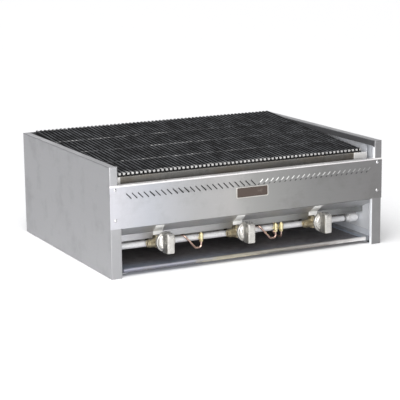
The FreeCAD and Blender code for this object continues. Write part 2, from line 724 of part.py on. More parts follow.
def gas_valve(x):
    """Brass valve on the front of the manifold: bonnet to the front, outlet over the pipe to the rear."""
    barrel = y_rod(BARREL_R, x, AXIS_Z, BARREL_FRONT, BARREL_BACK)
    collar = hex_bar(COLLAR_FLATS, V(x, COLLAR_Y, AXIS_Z), BACKWARD, COLLAR_LENGTH)
    bonnet = y_rod(BONNET_R, x, AXIS_Z, BONNET_FRONT, BARREL_FRONT + CUT_OVER)
    neck = y_rod(NECK_R, x, AXIS_Z, BARREL_BACK - CUT_OVER, NECK_BACK)
    belly = z_rod(BELLY_R, x, BELLY_Y, BELLY_LOW, AXIS_Z)
    plug = hex_bar(PLUG_FLATS, V(x, BELLY_Y, PLUG_LOW), UP, BELLY_LOW - PLUG_LOW + CUT_OVER)
    inlet = y_rod(INLET_BOSS_R, x, PIPE_Z, BELLY_Y, PIPE_Y - PIPE_BORE_R)
    outlet = y_rod(OUTLET_R, x, AXIS_Z, NECK_BACK - CUT_OVER, OUTLET_BACK)
    body = join([barrel, collar, bonnet, neck, belly, plug, inlet, outlet, side_port_cap(x)])
    stem_bore = y_rod(STEM_R + STEM_PLAY, x, AXIS_Z, BONNET_FRONT - CUT_OVER, BORE_END)
    gas_way = y_rod(GAS_WAY_R, x, AXIS_Z, BORE_END, OUTLET_BACK + CUT_OVER)
    entry = y_rod(GAS_WAY_R, x, PIPE_Z, BELLY_Y, PIPE_Y)
    riser = z_rod(GAS_WAY_R, x, BELLY_Y, PIPE_Z, AXIS_Z)
    return body.cut([stem_bore, gas_way, entry, riser])


def valve_stem(x):
    """Round stem with a flat for the knob."""
    stem = y_rod(STEM_R, x, AXIS_Z, STEM_FRONT, STEM_END)
    flat = box(x + STEM_R - STEM_FLAT, x + STEM_R + CUT_OVER, STEM_FRONT - CUT_OVER,
               BONNET_FRONT - KNOB_HUB_PROUD, AXIS_Z - STEM_R, AXIS_Z + STEM_R)
    return stem.cut(flat)


def knob_grip(x):
    """Broad upright grip: tapered towards its tip, rounded at its ends and fluted down both sides."""
    root = KNOB_BACK - KNOB_ROOT
    half_tip = KNOB_GRIP_TIP_W / 2
    half_root = KNOB_GRIP_W / 2
    rise = KNOB_GRIP_H / 2
    outline = [(-half_root, root), (half_root, root), (half_tip, KNOB_FRONT), (-half_tip, KNOB_FRONT)]
    slab = rounded_face("XY", outline, [0, 0, KNOB_TIP_CORNER, KNOB_TIP_CORNER], AXIS_Z - rise)
    slab = slab.extrude(V(0, 0, KNOB_GRIP_H))
    slab.translate(V(x, 0, 0))
    profile = [(root, AXIS_Z - rise), (root, AXIS_Z + rise), (KNOB_FRONT, AXIS_Z + rise),
               (KNOB_FRONT, AXIS_Z - rise)]
    envelope = rounded_face("YZ", profile, [0, 0, KNOB_END_CORNER, KNOB_END_CORNER], x - KNOB_SKIRT_R)
    slab = slab.common(envelope.extrude(V(2 * KNOB_SKIRT_R, 0, 0)))
    flutes = [z_rod(KNOB_FLUTE_R, x + side * KNOB_FLUTE_X, KNOB_FLUTE_Y, AXIS_Z - KNOB_GRIP_H,
                    AXIS_Z + KNOB_GRIP_H) for side in (-1, 1)]
    return slab.cut(flutes)


def knob(x):
    """Cast knob: round skirt, low crown and a broad upright grip, with a flatted socket behind."""
    skirt = y_rod(KNOB_SKIRT_R, x, AXIS_Z, KNOB_SKIRT_FRONT, KNOB_BACK)
    crown = y_cone(KNOB_CROWN_R, KNOB_SKIRT_R - KNOB_RIM_W, x, AXIS_Z, KNOB_CROWN_FRONT, KNOB_SKIRT_FRONT)
    hollow = y_rod(KNOB_SKIRT_R - KNOB_RIM_W, x, AXIS_Z, KNOB_BACK - KNOB_RIM_DEPTH, KNOB_BACK + CUT_OVER)
    body = join([skirt, crown, knob_grip(x)]).cut(hollow)
    hub_back = KNOB_BACK + KNOB_HUB_PROUD
    hub = y_rod(KNOB_HUB_R, x, AXIS_Z, KNOB_BACK - KNOB_HUB, hub_back)
    socket = y_rod(STEM_R, x, AXIS_Z, STEM_FRONT, hub_back + CUT_OVER)
    key = box(x + STEM_R - STEM_FLAT, x + STEM_R + CUT_OVER, STEM_FRONT - CUT_OVER, hub_back + CUT_OVER,
              AXIS_Z - STEM_R, AXIS_Z + STEM_R)
    return join([body, hub]).cut(socket.cut(key))


def orifice_hood(x):
    """Hexagon brass hood with the gas jet in its end."""
    hood = hex_bar(HOOD_FLATS, V(x, HOOD_FRONT, AXIS_Z), BACKWARD, HOOD_BACK - HOOD_FRONT)
    socket = y_rod(OUTLET_R, x, AXIS_Z, HOOD_FRONT - CUT_OVER, OUTLET_BACK)
    chamber = y_rod(HOOD_BORE_R, x, AXIS_Z, OUTLET_BACK - CUT_OVER, HOOD_BACK - HOOD_WALL)
    jet = y_rod(ORIFICE_R, x, AXIS_Z, HOOD_BACK - HOOD_WALL - CUT_OVER, HOOD_BACK + CUT_OVER)
    return hood.cut([socket, chamber, jet])


def manifold_pipe():
    """Main gas pipe across the cabinet, drilled along its front for the valves and the pilots."""
    length = PIPE_RIGHT - PIPE_LEFT
    pipe = rod(PIPE_R, V(PIPE_LEFT, PIPE_Y, PIPE_Z), RIGHTWARD, length)
    cutters = [rod(PIPE_BORE_R, V(PIPE_LEFT - CUT_OVER, PIPE_Y, PIPE_Z), RIGHTWARD, length + 2 * CUT_OVER)]
    front = PIPE_Y - 2 * PIPE_R
    for x in burner_positions():
        cutters.append(y_rod(INLET_BOSS_R, x, PIPE_Z, front, PIPE_Y))
    for x in PILOT_XS:
        cutters.append(y_rod(PILOT_STUB_R, x, PILOT_PORT_Z, front, PIPE_Y))
    return pipe.cut(cutters)


def manifold_cap():
    """Cap screwed on the left end of the manifold."""
    body = rod(FITTING_R, V(PIPE_LEFT - CAP_END, PIPE_Y, PIPE_Z), RIGHTWARD, CAP_LENGTH)
    return body.cut(rod(PIPE_R, V(PIPE_LEFT, PIPE_Y, PIPE_Z), RIGHTWARD, 2 * CAP_LENGTH))


def manifold_elbow():
    """Malleable-iron elbow turning the manifold to the rear."""
    corner = V(SUPPLY_X, PIPE_Y, PIPE_Z)
    left = V(SUPPLY_X - FITTING_REACH, PIPE_Y, PIPE_Z)
    rear_bead = V(SUPPLY_X, PIPE_Y + FITTING_REACH - FITTING_BEAD, PIPE_Z)
    leg_r = FITTING_R - FITTING_BEAD_RISE
    bead_r = FITTING_R + FITTING_BEAD_RISE
    body = join([Part.makeSphere(FITTING_R, corner),
                 rod(leg_r, left, RIGHTWARD, FITTING_REACH),
                 rod(leg_r, corner, BACKWARD, FITTING_REACH),
                 rod(bead_r, left, RIGHTWARD, FITTING_BEAD),
                 rod(bead_r, rear_bead, BACKWARD, FITTING_BEAD)])
    into_left = V(left.x - CUT_OVER, PIPE_Y, PIPE_Z)
    cutters = [rod(PIPE_R, into_left, RIGHTWARD, PIPE_RIGHT - into_left.x),
               rod(PIPE_R, V(SUPPLY_X, PIPE_Y + SOCKET_DEPTH, PIPE_Z), BACKWARD, FITTING_REACH),
               rod(PIPE_BORE_R, into_left, RIGHTWARD, SUPPLY_X - into_left.x),
               rod(PIPE_BORE_R, corner, BACKWARD, FITTING_REACH)]
    return body.cut(cutters)


def supply_pipe():
    """Pipe along the right wall from the elbow to the rear inlet."""
    return y_tube(PIPE_R, PIPE_BORE_R, SUPPLY_X, PIPE_Z, PIPE_Y + SOCKET_DEPTH, BACK - INLET_DEPTH)


def gas_inlet():
    """Hexagon reducer and threaded male inlet behind the cabinet."""
    start = BACK - INLET_HEX
    hexagon = hex_bar(INLET_FLATS, V(SUPPLY_X, start, PIPE_Z), BACKWARD, INLET_HEX + INLET_FACE)
    nipple = y_rod(INLET_R, SUPPLY_X, PIPE_Z, BACK + INLET_FACE - CUT_OVER, INLET_END)
    socket = y_rod(PIPE_R, SUPPLY_X, PIPE_Z, start - CUT_OVER, BACK - INLET_DEPTH)
    bore = y_rod(INLET_BORE_R, SUPPLY_X, PIPE_Z, BACK - INLET_DEPTH - CUT_OVER, INLET_END + CUT_OVER)
    return join([hexagon, nipple]).cut([socket, bore])


def manifold_hanger(x):
    """Strap round the manifold, hung from the deflector lip."""
    left = x - HANGER_W / 2
    right = x + HANGER_W / 2
    lip_back = DEFLECTOR_Y + SHEET
    pipe_top = PIPE_Z + PIPE_R
    ring = rod(HANGER_R, V(left, PIPE_Y, PIPE_Z), RIGHTWARD, HANGER_W)
    arm = box(left, right, lip_back, PIPE_Y, pipe_top, pipe_top + HANGER_T)
    post = box(left, right, lip_back, lip_back + HANGER_T, pipe_top, HANGER_TOP)
    return join([ring, arm, post]).cut(rod(PIPE_R, V(x - HANGER_W, PIPE_Y, PIPE_Z), RIGHTWARD, 2 * HANGER_W))


def manifold_hangers():
    """The two manifold straps."""
    return Part.makeCompound([manifold_hanger(-HANGER_X), manifold_hanger(HANGER_X)])


def pilot_valve(x):
    """Small brass pilot valve on the front of the manifold, outlet nut at the bottom."""
    body = z_rod(PILOT_BODY_R, x, PILOT_Y, PILOT_BODY_LOW, PILOT_BODY_TOP)
    stub = y_rod(PILOT_STUB_R, x, PILOT_PORT_Z, PILOT_Y, PIPE_Y - PIPE_BORE_R)
    shoulder = hex_bar(PILOT_NUT_FLATS, V(x, PILOT_SHOULDER_Y, PILOT_PORT_Z), BACKWARD, PILOT_SHOULDER)
    nut = hex_bar(PILOT_NUT_FLATS, V(x, PILOT_Y, PILOT_NUT_LOW), UP, PILOT_NUT_H)
    screw = z_rod(PILOT_SCREW_R, x, PILOT_Y, PILOT_BODY_TOP - CUT_OVER, PILOT_SCREW_TOP)
    slot = box(x - PILOT_BODY_R, x + PILOT_BODY_R, PILOT_Y - PILOT_SLOT_HALF, PILOT_Y + PILOT_SLOT_HALF,
               PILOT_SCREW_TOP - PILOT_SLOT_DEEP, PILOT_SCREW_TOP + CUT_OVER)
    outlet = z_rod(PILOT_TUBE_R, x, PILOT_Y, PILOT_NUT_LOW - CUT_OVER, PILOT_TUBE_TOP)
    way = z_rod(PILOT_WAY_R, x, PILOT_Y, PILOT_TUBE_TOP - CUT_OVER, PILOT_PORT_Z)
    feed = y_rod(PILOT_WAY_R, x, PILOT_PORT_Z, PILOT_Y, PIPE_Y)
    return join([body, stub, shoulder, nut, screw]).cut([slot, outlet, way, feed])


def pilot_tip_x(index):
    """Where a pilot tip stands: right of its burner for the first two, left for the last."""
    side = 1 if index < 2 else -1
    return burner_positions()[index] + side * PILOT_TIP_SIDE


def pilot_tube(index):
    """Copper pilot tube looping under the manifold and back to its burner."""
    x = PILOT_XS[index]
    top = V(x, PILOT_Y, PILOT_TUBE_TOP)
    bottom = V(x, PILOT_Y, PILOT_LOOP_Z)
    if index < 2:
        run_x = x - PILOT_SWEEP
        loop = [top, bottom, V(x - PILOT_LOOP_W, PILOT_Y, PILOT_LOOP_Z), V(run_x, PILOT_Y, PILOT_RUN_Z)]
    else:
        run_x = x
        behind = PILOT_Y + PILOT_UNDER
        loop = [top, bottom, V(x, behind, PILOT_LOOP_Z), V(x, behind, PILOT_RUN_Z)]
    tip_x = pilot_tip_x(index)
    path = loop + [V(run_x, PILOT_TIP_Y, PILOT_RUN_Z), V(tip_x, PILOT_TIP_Y, PILOT_RUN_Z),
                   V(tip_x, PILOT_TIP_Y, PILOT_TIP_LOW + PILOT_TIP_SOCKET)]
    return bent_tube(path, PILOT_TUBE_R, PILOT_TUBE_BORE_R, PILOT_BEND_R)


def pilot_tip(index):
    """Pilot burner tip on a small bracket against its burner."""
    centre = burner_positions()[index]
    tip_x = pilot_tip_x(index)
    side = 1 if tip_x > centre else -1
    top = PILOT_TIP_LOW + PILOT_TIP_H
    tip = z_rod(PILOT_TIP_R, tip_x, PILOT_TIP_Y, PILOT_TIP_LOW, top)
    ends = sorted((centre + side * HEAD_HALF, tip_x))
    bracket = box(ends[0], ends[1], PILOT_TIP_Y - BRACKET_HALF, PILOT_TIP_Y + BRACKET_HALF,
                  BRACKET_Z, BRACKET_Z + BRACKET_T)
    port = rod(PILOT_FLAME_R, V(tip_x, PILOT_TIP_Y, PILOT_FLAME_Z), V(-side, 0, 0), 2 * PILOT_TIP_R)
    socket = z_rod(PILOT_TUBE_R, tip_x, PILOT_TIP_Y, PILOT_TIP_LOW - CUT_OVER,
                   PILOT_TIP_LOW + PILOT_TIP_SOCKET)
    way = z_rod(PILOT_WAY_R, tip_x, PILOT_TIP_Y, PILOT_TIP_LOW, PILOT_FLAME_Z)
    return join([tip, bracket]).cut([port, socket, way])


def drip_tray():
    """Shallow pull-out tray; its front edge is folded into a bead over a set-back web."""
    floor = [(-TRAY_HALF, TRAY_WALL_TOP), (-TRAY_HALF, TRAY_LOW), (TRAY_HALF, TRAY_LOW),
             (TRAY_HALF, TRAY_WALL_TOP)]
    web = TRAY_FRONT + TRAY_STEP
    trough = bent_sheet("XZ", floor, TRAY_T, web + TRAY_T, TRAY_BACK, bend=TIGHT_BEND)
    lip = [(TRAY_FRONT + TRAY_BEAD, TRAY_BEAD_LOW), (TRAY_FRONT + TRAY_BEAD, TRAY_LIP_TOP),
           (TRAY_FRONT, TRAY_LIP_TOP), (TRAY_FRONT, TRAY_BEAD_LOW), (web, TRAY_BEAD_LOW),
           (web, TRAY_LOW), (web + TRAY_HEM, TRAY_LOW)]
    front = bent_sheet("YZ", lip, TRAY_T, -TRAY_HALF, TRAY_HALF, bend=TRAY_BEAD_BEND)
    end = [(TRAY_BACK - TRAY_HEM, TRAY_LOW), (TRAY_BACK, TRAY_LOW), (TRAY_BACK, TRAY_WALL_TOP)]
    rear = bent_sheet("YZ", end, TRAY_T, -TRAY_HALF, TRAY_HALF, bend=TIGHT_BEND)
    return join([trough, front, rear])


def tray_runner():
    """Right-hand angle that carries the drip tray."""
    path = [(RUNNER_IN, RUNNER_LOW), (INNER_X, RUNNER_LOW), (INNER_X, RUNNER_TOP)]
    return bent_sheet("XZ", path, SHEET, RUNNER_FRONT, RUNNER_BACK)


def build():
    """Every separate piece, by node name."""
    nodes = {}
    right_panel = side_panel()
    nodes["side_panel_right"] = right_panel
    nodes["side_panel_left"] = mirrored(right_panel)
    nodes["back_panel"] = back_panel()
    nodes["front_panel"] = front_panel()
    nodes["badge_plate"] = badge_plate()
    nodes["badge_rim"] = badge_rim()
    nodes["panel_screws"] = panel_screws()
    nodes["heat_deflector"] = heat_deflector()
    nodes["firebox_front"] = firebox_front()
    nodes["firebox_rear"] = firebox_rear()
    liner = firebox_liner()
    nodes["firebox_liner_right"] = liner
    nodes["firebox_liner_left"] = mirrored(liner)
    nodes["rail_tabs"] = rail_tabs()
    nodes["grate_1"] = grate(0, BARS_NARROW)
    for k in range(GRATES - 1):
        nodes["grate_%d" % (k + 2)] = grate(BARS_NARROW + k * BARS_FULL, BARS_FULL)
    nodes["burner_support_front"] = burner_support(FRONT_SUPPORT_Y, AXIS_Z - THROAT_R - WALL)
    nodes["burner_support_rear"] = burner_support(REAR_SUPPORT_Y, HEAD_LOW)
    for k, x in enumerate(burner_positions()):
        number = k + 1
        nodes["radiant_%d" % number] = radiant(x)
        nodes["burner_%d" % number] = burner(x)
        nodes["air_shutter_%d" % number] = air_shutter(x)
        nodes["orifice_hood_%d" % number] = orifice_hood(x)
        nodes["gas_valve_%d" % number] = gas_valve(x)
        nodes["valve_stem_%d" % number] = valve_stem(x)
        nodes["knob_%d" % number] = knob(x)
        nodes["pilot_valve_%d" % number] = pilot_valve(PILOT_XS[k])
        nodes["pilot_tube_%d" % number] = pilot_tube(k)
        nodes["pilot_tip_%d" % number] = pilot_tip(k)
    nodes["manifold_pipe"] = manifold_pipe()
    nodes["manifold_cap"] = manifold_cap()
    nodes["manifold_elbow"] = manifold_elbow()
    nodes["supply_pipe"] = supply_pipe()
    nodes["gas_inlet"] = gas_inlet()
    nodes["manifold_hangers"] = manifold_hangers()
    nodes["drip_tray"] = drip_tray()
    runner = tray_runner()
    nodes["tray_runner_right"] = runner
    nodes["tray_runner_left"] = mirrored(runner)
    return nodes


os.makedirs("parts", exist_ok=True)
for name, shape in build().items():
    shape.exportStep("parts/%s.step" % name)
    print("%-22s solids %d  valid %s" % (name, len(shape.Solids), shape.isValid()))
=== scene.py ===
import json
import math

import bpy
from mathutils import Matrix, Vector

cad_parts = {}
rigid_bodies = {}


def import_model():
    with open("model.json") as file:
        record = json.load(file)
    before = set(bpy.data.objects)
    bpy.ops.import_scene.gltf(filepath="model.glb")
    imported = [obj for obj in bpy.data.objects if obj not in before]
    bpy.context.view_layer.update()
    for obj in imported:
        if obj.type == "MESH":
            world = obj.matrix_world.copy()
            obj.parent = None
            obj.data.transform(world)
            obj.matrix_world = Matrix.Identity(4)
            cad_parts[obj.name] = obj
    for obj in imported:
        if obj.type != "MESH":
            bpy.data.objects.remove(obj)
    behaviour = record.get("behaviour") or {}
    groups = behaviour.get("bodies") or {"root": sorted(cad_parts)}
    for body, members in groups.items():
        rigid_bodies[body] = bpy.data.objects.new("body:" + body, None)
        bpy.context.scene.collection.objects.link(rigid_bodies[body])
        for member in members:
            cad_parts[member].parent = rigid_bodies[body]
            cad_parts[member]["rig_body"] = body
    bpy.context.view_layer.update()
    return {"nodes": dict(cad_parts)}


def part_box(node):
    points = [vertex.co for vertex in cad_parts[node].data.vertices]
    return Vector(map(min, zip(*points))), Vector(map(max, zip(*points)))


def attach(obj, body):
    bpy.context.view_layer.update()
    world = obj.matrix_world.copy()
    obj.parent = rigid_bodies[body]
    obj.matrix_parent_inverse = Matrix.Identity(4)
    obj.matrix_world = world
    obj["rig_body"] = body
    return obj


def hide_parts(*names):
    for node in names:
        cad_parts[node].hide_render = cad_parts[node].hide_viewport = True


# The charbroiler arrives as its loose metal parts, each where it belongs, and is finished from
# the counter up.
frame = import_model()
bpy.context.scene.view_settings.view_transform = "Standard"


# The counter: one broad pale worktop of honed composite stone, far wider than the broiler,
# which stands on it without fixings.
class Wire:
    """One socket of the finish being mixed. A sum on it adds a Math node."""

    tree = None

    def __init__(self, socket):
        self.socket = socket

    @classmethod
    def node(cls, kind, settings=None, values=None, out=0):
        """Adds a node: its settings first, then the values or links of its sockets."""
        made = cls.tree.nodes.new(kind)
        for name, value in (settings or {}).items():
            if name == "stops":
                ramp = made.color_ramp
                ramp.elements.remove(ramp.elements[1])
                ramp.elements[0].position = value[0][0]
                ramp.elements[0].color = (*value[0][1], 1)
                for position, colour in value[1:]:
                    ramp.elements.new(position).color = (*colour, 1)
            else:
                setattr(made, name, value)
        for name, value in (values or {}).items():
            if isinstance(value, cls):
                cls.tree.links.new(value.socket, made.inputs[name])
            elif isinstance(value, tuple) and made.inputs[name].type == "RGBA":
                made.inputs[name].default_value = (*value, 1)
            else:
                made.inputs[name].default_value = value
        return cls(made.outputs[out]) if made.outputs else None

    def math(self, operation, first, second):
        return Wire.node("ShaderNodeMath", {"operation": operation}, {0: first, 1: second})

    def __add__(self, other):
        return self.math("ADD", self, other)

    def __mul__(self, other):
        return self.math("MULTIPLY", self, other)

    def __sub__(self, other):
        return self.math("SUBTRACT", self, other)

    def __rsub__(self, other):
        return self.math("SUBTRACT", other, self)

    __radd__ = __add__
    __rmul__ = __mul__


def new_finish(name):
    """Opens an empty finish, so that the nodes that follow belong to it."""
    finish = bpy.data.materials.new(name)
    finish.use_nodes = True
    Wire.tree = finish.node_tree
    Wire.tree.nodes.clear()
    return finish


def grain(scale, stretch=(1, 1, 1), detail=3.0, harsh=0.55, turn=(0, 0, 0)):
    """Noise fixed to the piece, drawn out along the axes with the smaller stretch."""
    place = Wire.node("ShaderNodeTexCoord", out="Object")
    drawn = Wire.node("ShaderNodeMapping", values={"Vector": place, "Rotation": turn, "Scale": stretch})
    return Wire.node("ShaderNodeTexNoise", values={"Vector": drawn, "Scale": scale, "Detail": detail,
                                                   "Roughness": harsh})


def tint(share, first, second, kind="MIX"):
    """Colour that goes from the first to the second as share goes from 0 to 1."""
    return Wire.node("ShaderNodeMix", {"data_type": "RGBA", "blend_type": kind},
                     {0: share, 6: first, 7: second}, out=2)


def coat(colour, metallic, roughness, height, relief, reach, fixed=None):
    """Closes a finish with its surface shader and the fine relief under it."""
    bump = Wire.node("ShaderNodeBump", values={"Strength": relief, "Distance": reach, "Height": height})
    sockets = {"Base Color": colour, "Metallic": metallic, "Roughness": roughness, "Normal": bump}
    sockets.update(fixed or {})
    surface = Wire.node("ShaderNodeBsdfPrincipled", values=sockets)
    Wire.node("ShaderNodeOutputMaterial", values={"Surface": surface})


COUNTER_SIZE = 80.0
bpy.ops.object.select_all(action="DESELECT")
bpy.ops.mesh.primitive_plane_add(size=COUNTER_SIZE)
counter = bpy.context.object
counter.name = "counter_top"
stone = new_finish("honed_pale_stone")
speckle = grain(60.0, detail=4.0)
coat(tint(speckle, (0.90, 0.90, 0.90), (0.96, 0.96, 0.96)), 0.0, 0.75 + 0.1 * speckle, speckle, 0.05, 0.0005)
counter.data.materials.append(stone)


# Soft daylight: an even overcast sun from above, a bright window at the left front that falls
# off along the broiler, and a pale room that is dimmer towards the right.
def between(value, low, high):
    """A mask that is 0 at low and 1 at high, whichever of the two is greater."""
    return Wire.node("ShaderNodeMapRange", values={"Value": value, "From Min": low, "From Max": high})


def blended(stops, share):
    """Colour that runs through the stops as share goes from 0 to 1."""
    return Wire.node("ShaderNodeValToRGB", {"stops": stops}, {"Fac": share})


room = bpy.data.worlds.new("pale_room")
bpy.context.scene.world = room
room.use_nodes = True
Wire.tree = room.node_tree
Wire.tree.nodes.clear()
heading = Wire.node("ShaderNodeTexCoord", out="Generated")
sides = Wire.node("ShaderNodeSeparateXYZ", values={"Vector": heading}, out="X")
dimmer = blended([(0.0, (1.0, 1.0, 1.03)), (1.0, (0.28, 0.28, 0.28))], between(sides, -0.2, 0.75))
sky = Wire.node("ShaderNodeBackground", values={"Color": dimmer, "Strength": 0.62})
Wire.node("ShaderNodeOutputWorld", values={"Surface": sky})
SUN_STRENGTH = 2.3
SUN_SPREAD = math.radians(60)
SUN_TURN = (math.radians(18), math.radians(-20), 0)
sun = bpy.data.lights.new("overcast_sun", "SUN")
sun.energy = SUN_STRENGTH
sun.angle = SUN_SPREAD
sun_holder = bpy.data.objects.new("overcast_sun", sun)
bpy.context.scene.collection.objects.link(sun_holder)
sun_holder.rotation_euler = SUN_TURN


def lamp(name, place, target, width, height, power):
    """Flat soft lamp that faces a point on the broiler."""
    light = bpy.data.lights.new(name, "AREA")
    light.shape = "RECTANGLE"
    light.size = width
    light.size_y = height
    light.energy = power
    holder = bpy.data.objects.new(name, light)
    bpy.context.scene.collection.objects.link(holder)
    holder.location = place
    holder.rotation_euler = (Vector(target) - Vector(place)).to_track_quat("-Z", "Y").to_euler()


lamp("left_window", (-1.15, -1.55, 0.95), (-0.35, -0.35, 0.15), 0.8, 0.7, 5)
lamp("front_glow", (-0.75, -1.9, 0.42), (0.15, -0.30, 0.06), 1.1, 0.35, 15)


# The view: from the left of the front and a little above, about four and a half metres away,
# through a long lens.
VIEW_PLACE = Vector((-2.0223, -4.0389, 1.0740))
VIEW_TURN = math.radians(26.694)
VIEW_DROP = math.radians(11.936)
VIEW_ROLL = math.radians(-0.621)
VIEW_REACH = 200.0
FOCAL_LENGTH = 130.36
SENSOR_WIDTH = 36.0
lens = bpy.data.cameras.new("long_lens")
lens.lens = FOCAL_LENGTH
lens.sensor_width = SENSOR_WIDTH
lens.clip_end = VIEW_REACH
viewer = bpy.data.objects.new("viewer", lens)
bpy.context.scene.collection.objects.link(viewer)
viewer.matrix_world = (Matrix.Translation(VIEW_PLACE) @ Matrix.Rotation(-VIEW_TURN, 4, "Z")
                       @ Matrix.Rotation(math.pi / 2 - VIEW_DROP, 4, "X")
                       @ Matrix.Rotation(VIEW_ROLL, 4, "Z"))
bpy.context.scene.camera = viewer


# Side and back panels: stainless sheet, sheared and folded on a press brake, with the brushed
# grain running front to back. The cut edges are dressed so that they don't cut fingers.
HEAL_GAP = 0.00001
FLAT_ANGLE = math.radians(0.5)
EDGE_ANGLE = math.radians(35)
SHEET_EDGE = 0.0003
TURNED_EDGE = 0.0004
CAST_EDGE = 0.0006


def place_in(axis):
    """Distance along one axis of the broiler."""
    spot = Wire.node("ShaderNodeTexCoord", out="Object")
    return Wire.node("ShaderNodeSeparateXYZ", values={"Vector": spot}, out=axis)


def facing(axis):
    """How far a face turns towards one axis, from -1 to 1."""
    outward = Wire.node("ShaderNodeNewGeometry", out="Normal")
    return Wire.node("ShaderNodeSeparateXYZ", values={"Vector": outward}, out=axis)


def picked(piece):
    """Selects one piece and nothing else."""
    bpy.ops.object.select_all(action="DESELECT")
    bpy.context.view_layer.objects.active = piece
    piece.select_set(True)


def smoothed(piece, edge, sharp=EDGE_ANGLE, steps=2, thin=False):
    """Breaks the sharp edges of a shape, smooths the small rounds and keeps the broad faces flat."""
    picked(piece)
    bevel = piece.modifiers.new("edge_break", "BEVEL")
    bevel.width = edge
    bevel.segments = steps
    bevel.limit_method = "ANGLE"
    bevel.angle_limit = sharp
    bevel.use_clamp_overlap = thin
    bpy.ops.object.modifier_apply(modifier="edge_break")
    bpy.ops.object.shade_smooth_by_angle(angle=sharp)
    piece.modifiers.new("flat_faces", "WEIGHTED_NORMAL").keep_sharp = True
    bpy.ops.object.modifier_apply(modifier="flat_faces")


def dressed(node, edge, label, finish, steps=2, thin=False):
    """A CAD part with its facets healed into whole faces and its sharp edges broken."""
    piece = bpy.data.objects.new(label, frame["nodes"][node].data.copy())
    bpy.context.scene.collection.objects.link(piece)
    picked(piece)
    if piece.data.has_custom_normals:
        bpy.ops.mesh.customdata_custom_splitnormals_clear()
    bpy.ops.object.mode_set(mode="EDIT")
    bpy.ops.mesh.select_all(action="SELECT")
    bpy.ops.mesh.remove_doubles(threshold=HEAL_GAP)
    bpy.ops.mesh.dissolve_limited(angle_limit=FLAT_ANGLE)
    bpy.ops.object.mode_set(mode="OBJECT")
    smoothed(piece, edge, EDGE_ANGLE, steps, thin)
    fitted(piece, node, finish)


def fitted(piece, node, finish):
    """Puts a finished piece in its CAD part's place: it takes the finish, rides on the same body, and the CAD
    part is hidden.
    """
    piece.data.materials.clear()
    piece.data.materials.append(finish)
    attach(piece, frame["nodes"][node]["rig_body"])
    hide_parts(node)


CABINET_HALF = 0.457
LIP_SHADE_LOW = 0.304
LIP_SHADE_HIGH = 0.308


def brushed_sheet(name, light, dark, along, rough, stain, stain_share, scratch=0.25, drift=None,
                  inside=None, pressed=None, painted_top_highlight=None):
    """Brushed sheet metal: fine grain along one axis, cloudy tone, rubbed stains and stray scratches.

    Drift is a painted falloff of light, darker from left to right; inside is a pale tone painted on
    the faces that look into the cabinet as painted light, with painted shade in a band just under the
    top lip; pressed adds painted light and shade on the louvres; the top tone is a painted highlight on
    the upward faces.
    """
    finish = new_finish(name)
    lengths = {"X": (0.8, 90.0, 90.0), "Y": (90.0, 0.8, 90.0), "Z": (90.0, 90.0, 0.8)}
    lines = grain(9.0, lengths[along], 4.0, 0.7)
    clouds = grain(3.2, detail=5.0, harsh=0.6)
    blotches = between(grain(11.0, detail=6.0, harsh=0.65), 0.50, 0.72)
    stray = between(grain(16.0, (1.0, 1.0, 22.0), 2.0, 0.5, (0.5, 0.7, 0.4)), 0.66, 0.74)
    tone = tint(clouds, dark, light)
    tone = tint(lines * 0.35, tone, dark)
    tone = tint(blotches * stain_share, tone, stain)
    tone = tint(stray * scratch, tone, light)
    gloss = rough + 0.14 * lines + 0.16 * blotches + 0.08 * clouds
    metal = 1.0
    # Painted light: the drift ramp darkens the sheet from the left to the right of the broiler.
    if drift:
        across = between(place_in("X"), -CABINET_HALF, CABINET_HALF) + 0.10 * (clouds - 0.5)
        tone = tint(1.0, tone, blended(drift, across), "MULTIPLY")
    # Painted light: faces that look into the cabinet get a pale, less metallic tone.
    if inside:
        inner = between(place_in("X") * facing("X"), -0.2, -0.4)
        tone = tint(inner, tone, tint(clouds, tuple(c * 0.86 for c in inside), inside))
        gloss = gloss + 0.12 * inner
        metal = 1.0 - 0.75 * inner
        # Painted shade: a dark band on those inner faces just under the top flange's lip.
        shaded = inner * between(place_in("Z"), LIP_SHADE_LOW, LIP_SHADE_HIGH)
        tone = tint(shaded, tone, (0.085, 0.085, 0.088))
    if pressed:
        tone = pressed(tone)
    # Painted highlight: the upward faces near the top are lightened.
    if painted_top_highlight:
        tone = tint(between(facing("Z"), 0.9, 0.97) * between(place_in("Z"), 0.2, 0.25), tone, painted_top_highlight)
    coat(tone, metal, gloss, lines + 0.35 * clouds + 0.5 * stray, 0.12, 0.0006)
    return finish


# The cabinet steel carries painted light: a painted falloff darker to the right, pale inner faces, painted
# shade under the lip and a painted highlight on the top flanges.
cabinet_steel = brushed_sheet("brushed_cabinet_steel", (0.44, 0.44, 0.45), (0.40, 0.40, 0.41), "Y", 0.30,
                              (0.36, 0.36, 0.36), 0.2,
                              drift=[(0.0, (0.9, 0.9, 0.9)), (0.5, (0.78, 0.78, 0.77)),
                                     (1.0, (0.68, 0.67, 0.66))],
                              inside=(0.95, 0.97, 1.0), painted_top_highlight=(0.80, 0.80, 0.81))
for node in ("side_panel_left", "side_panel_right", "back_panel"):
    dressed(node, SHEET_EDGE, node + "_folded", cabinet_steel, thin=True)


# Front panel: thinner stainless with a rolled ledge along the top, a hem below and two rows of
# slanted louvres pressed out with one punch. Wiping has clouded it in patches; its tone falls off
# from the left to the right as painted light, and the louvres and top roll carry painted shade and
# painted highlights.
PANEL_EDGE = 0.00025
LOUVRES_LOW = 0.2290
LOUVRES_HIGH = 0.2488
LOUVRES_FADE = 0.0005
LEDGE_ROLL_LOW = 0.2668
LEDGE_ROLL_HIGH = 0.2676
LEDGE_HIGHLIGHT_TONE = (0.97, 0.95, 0.94)


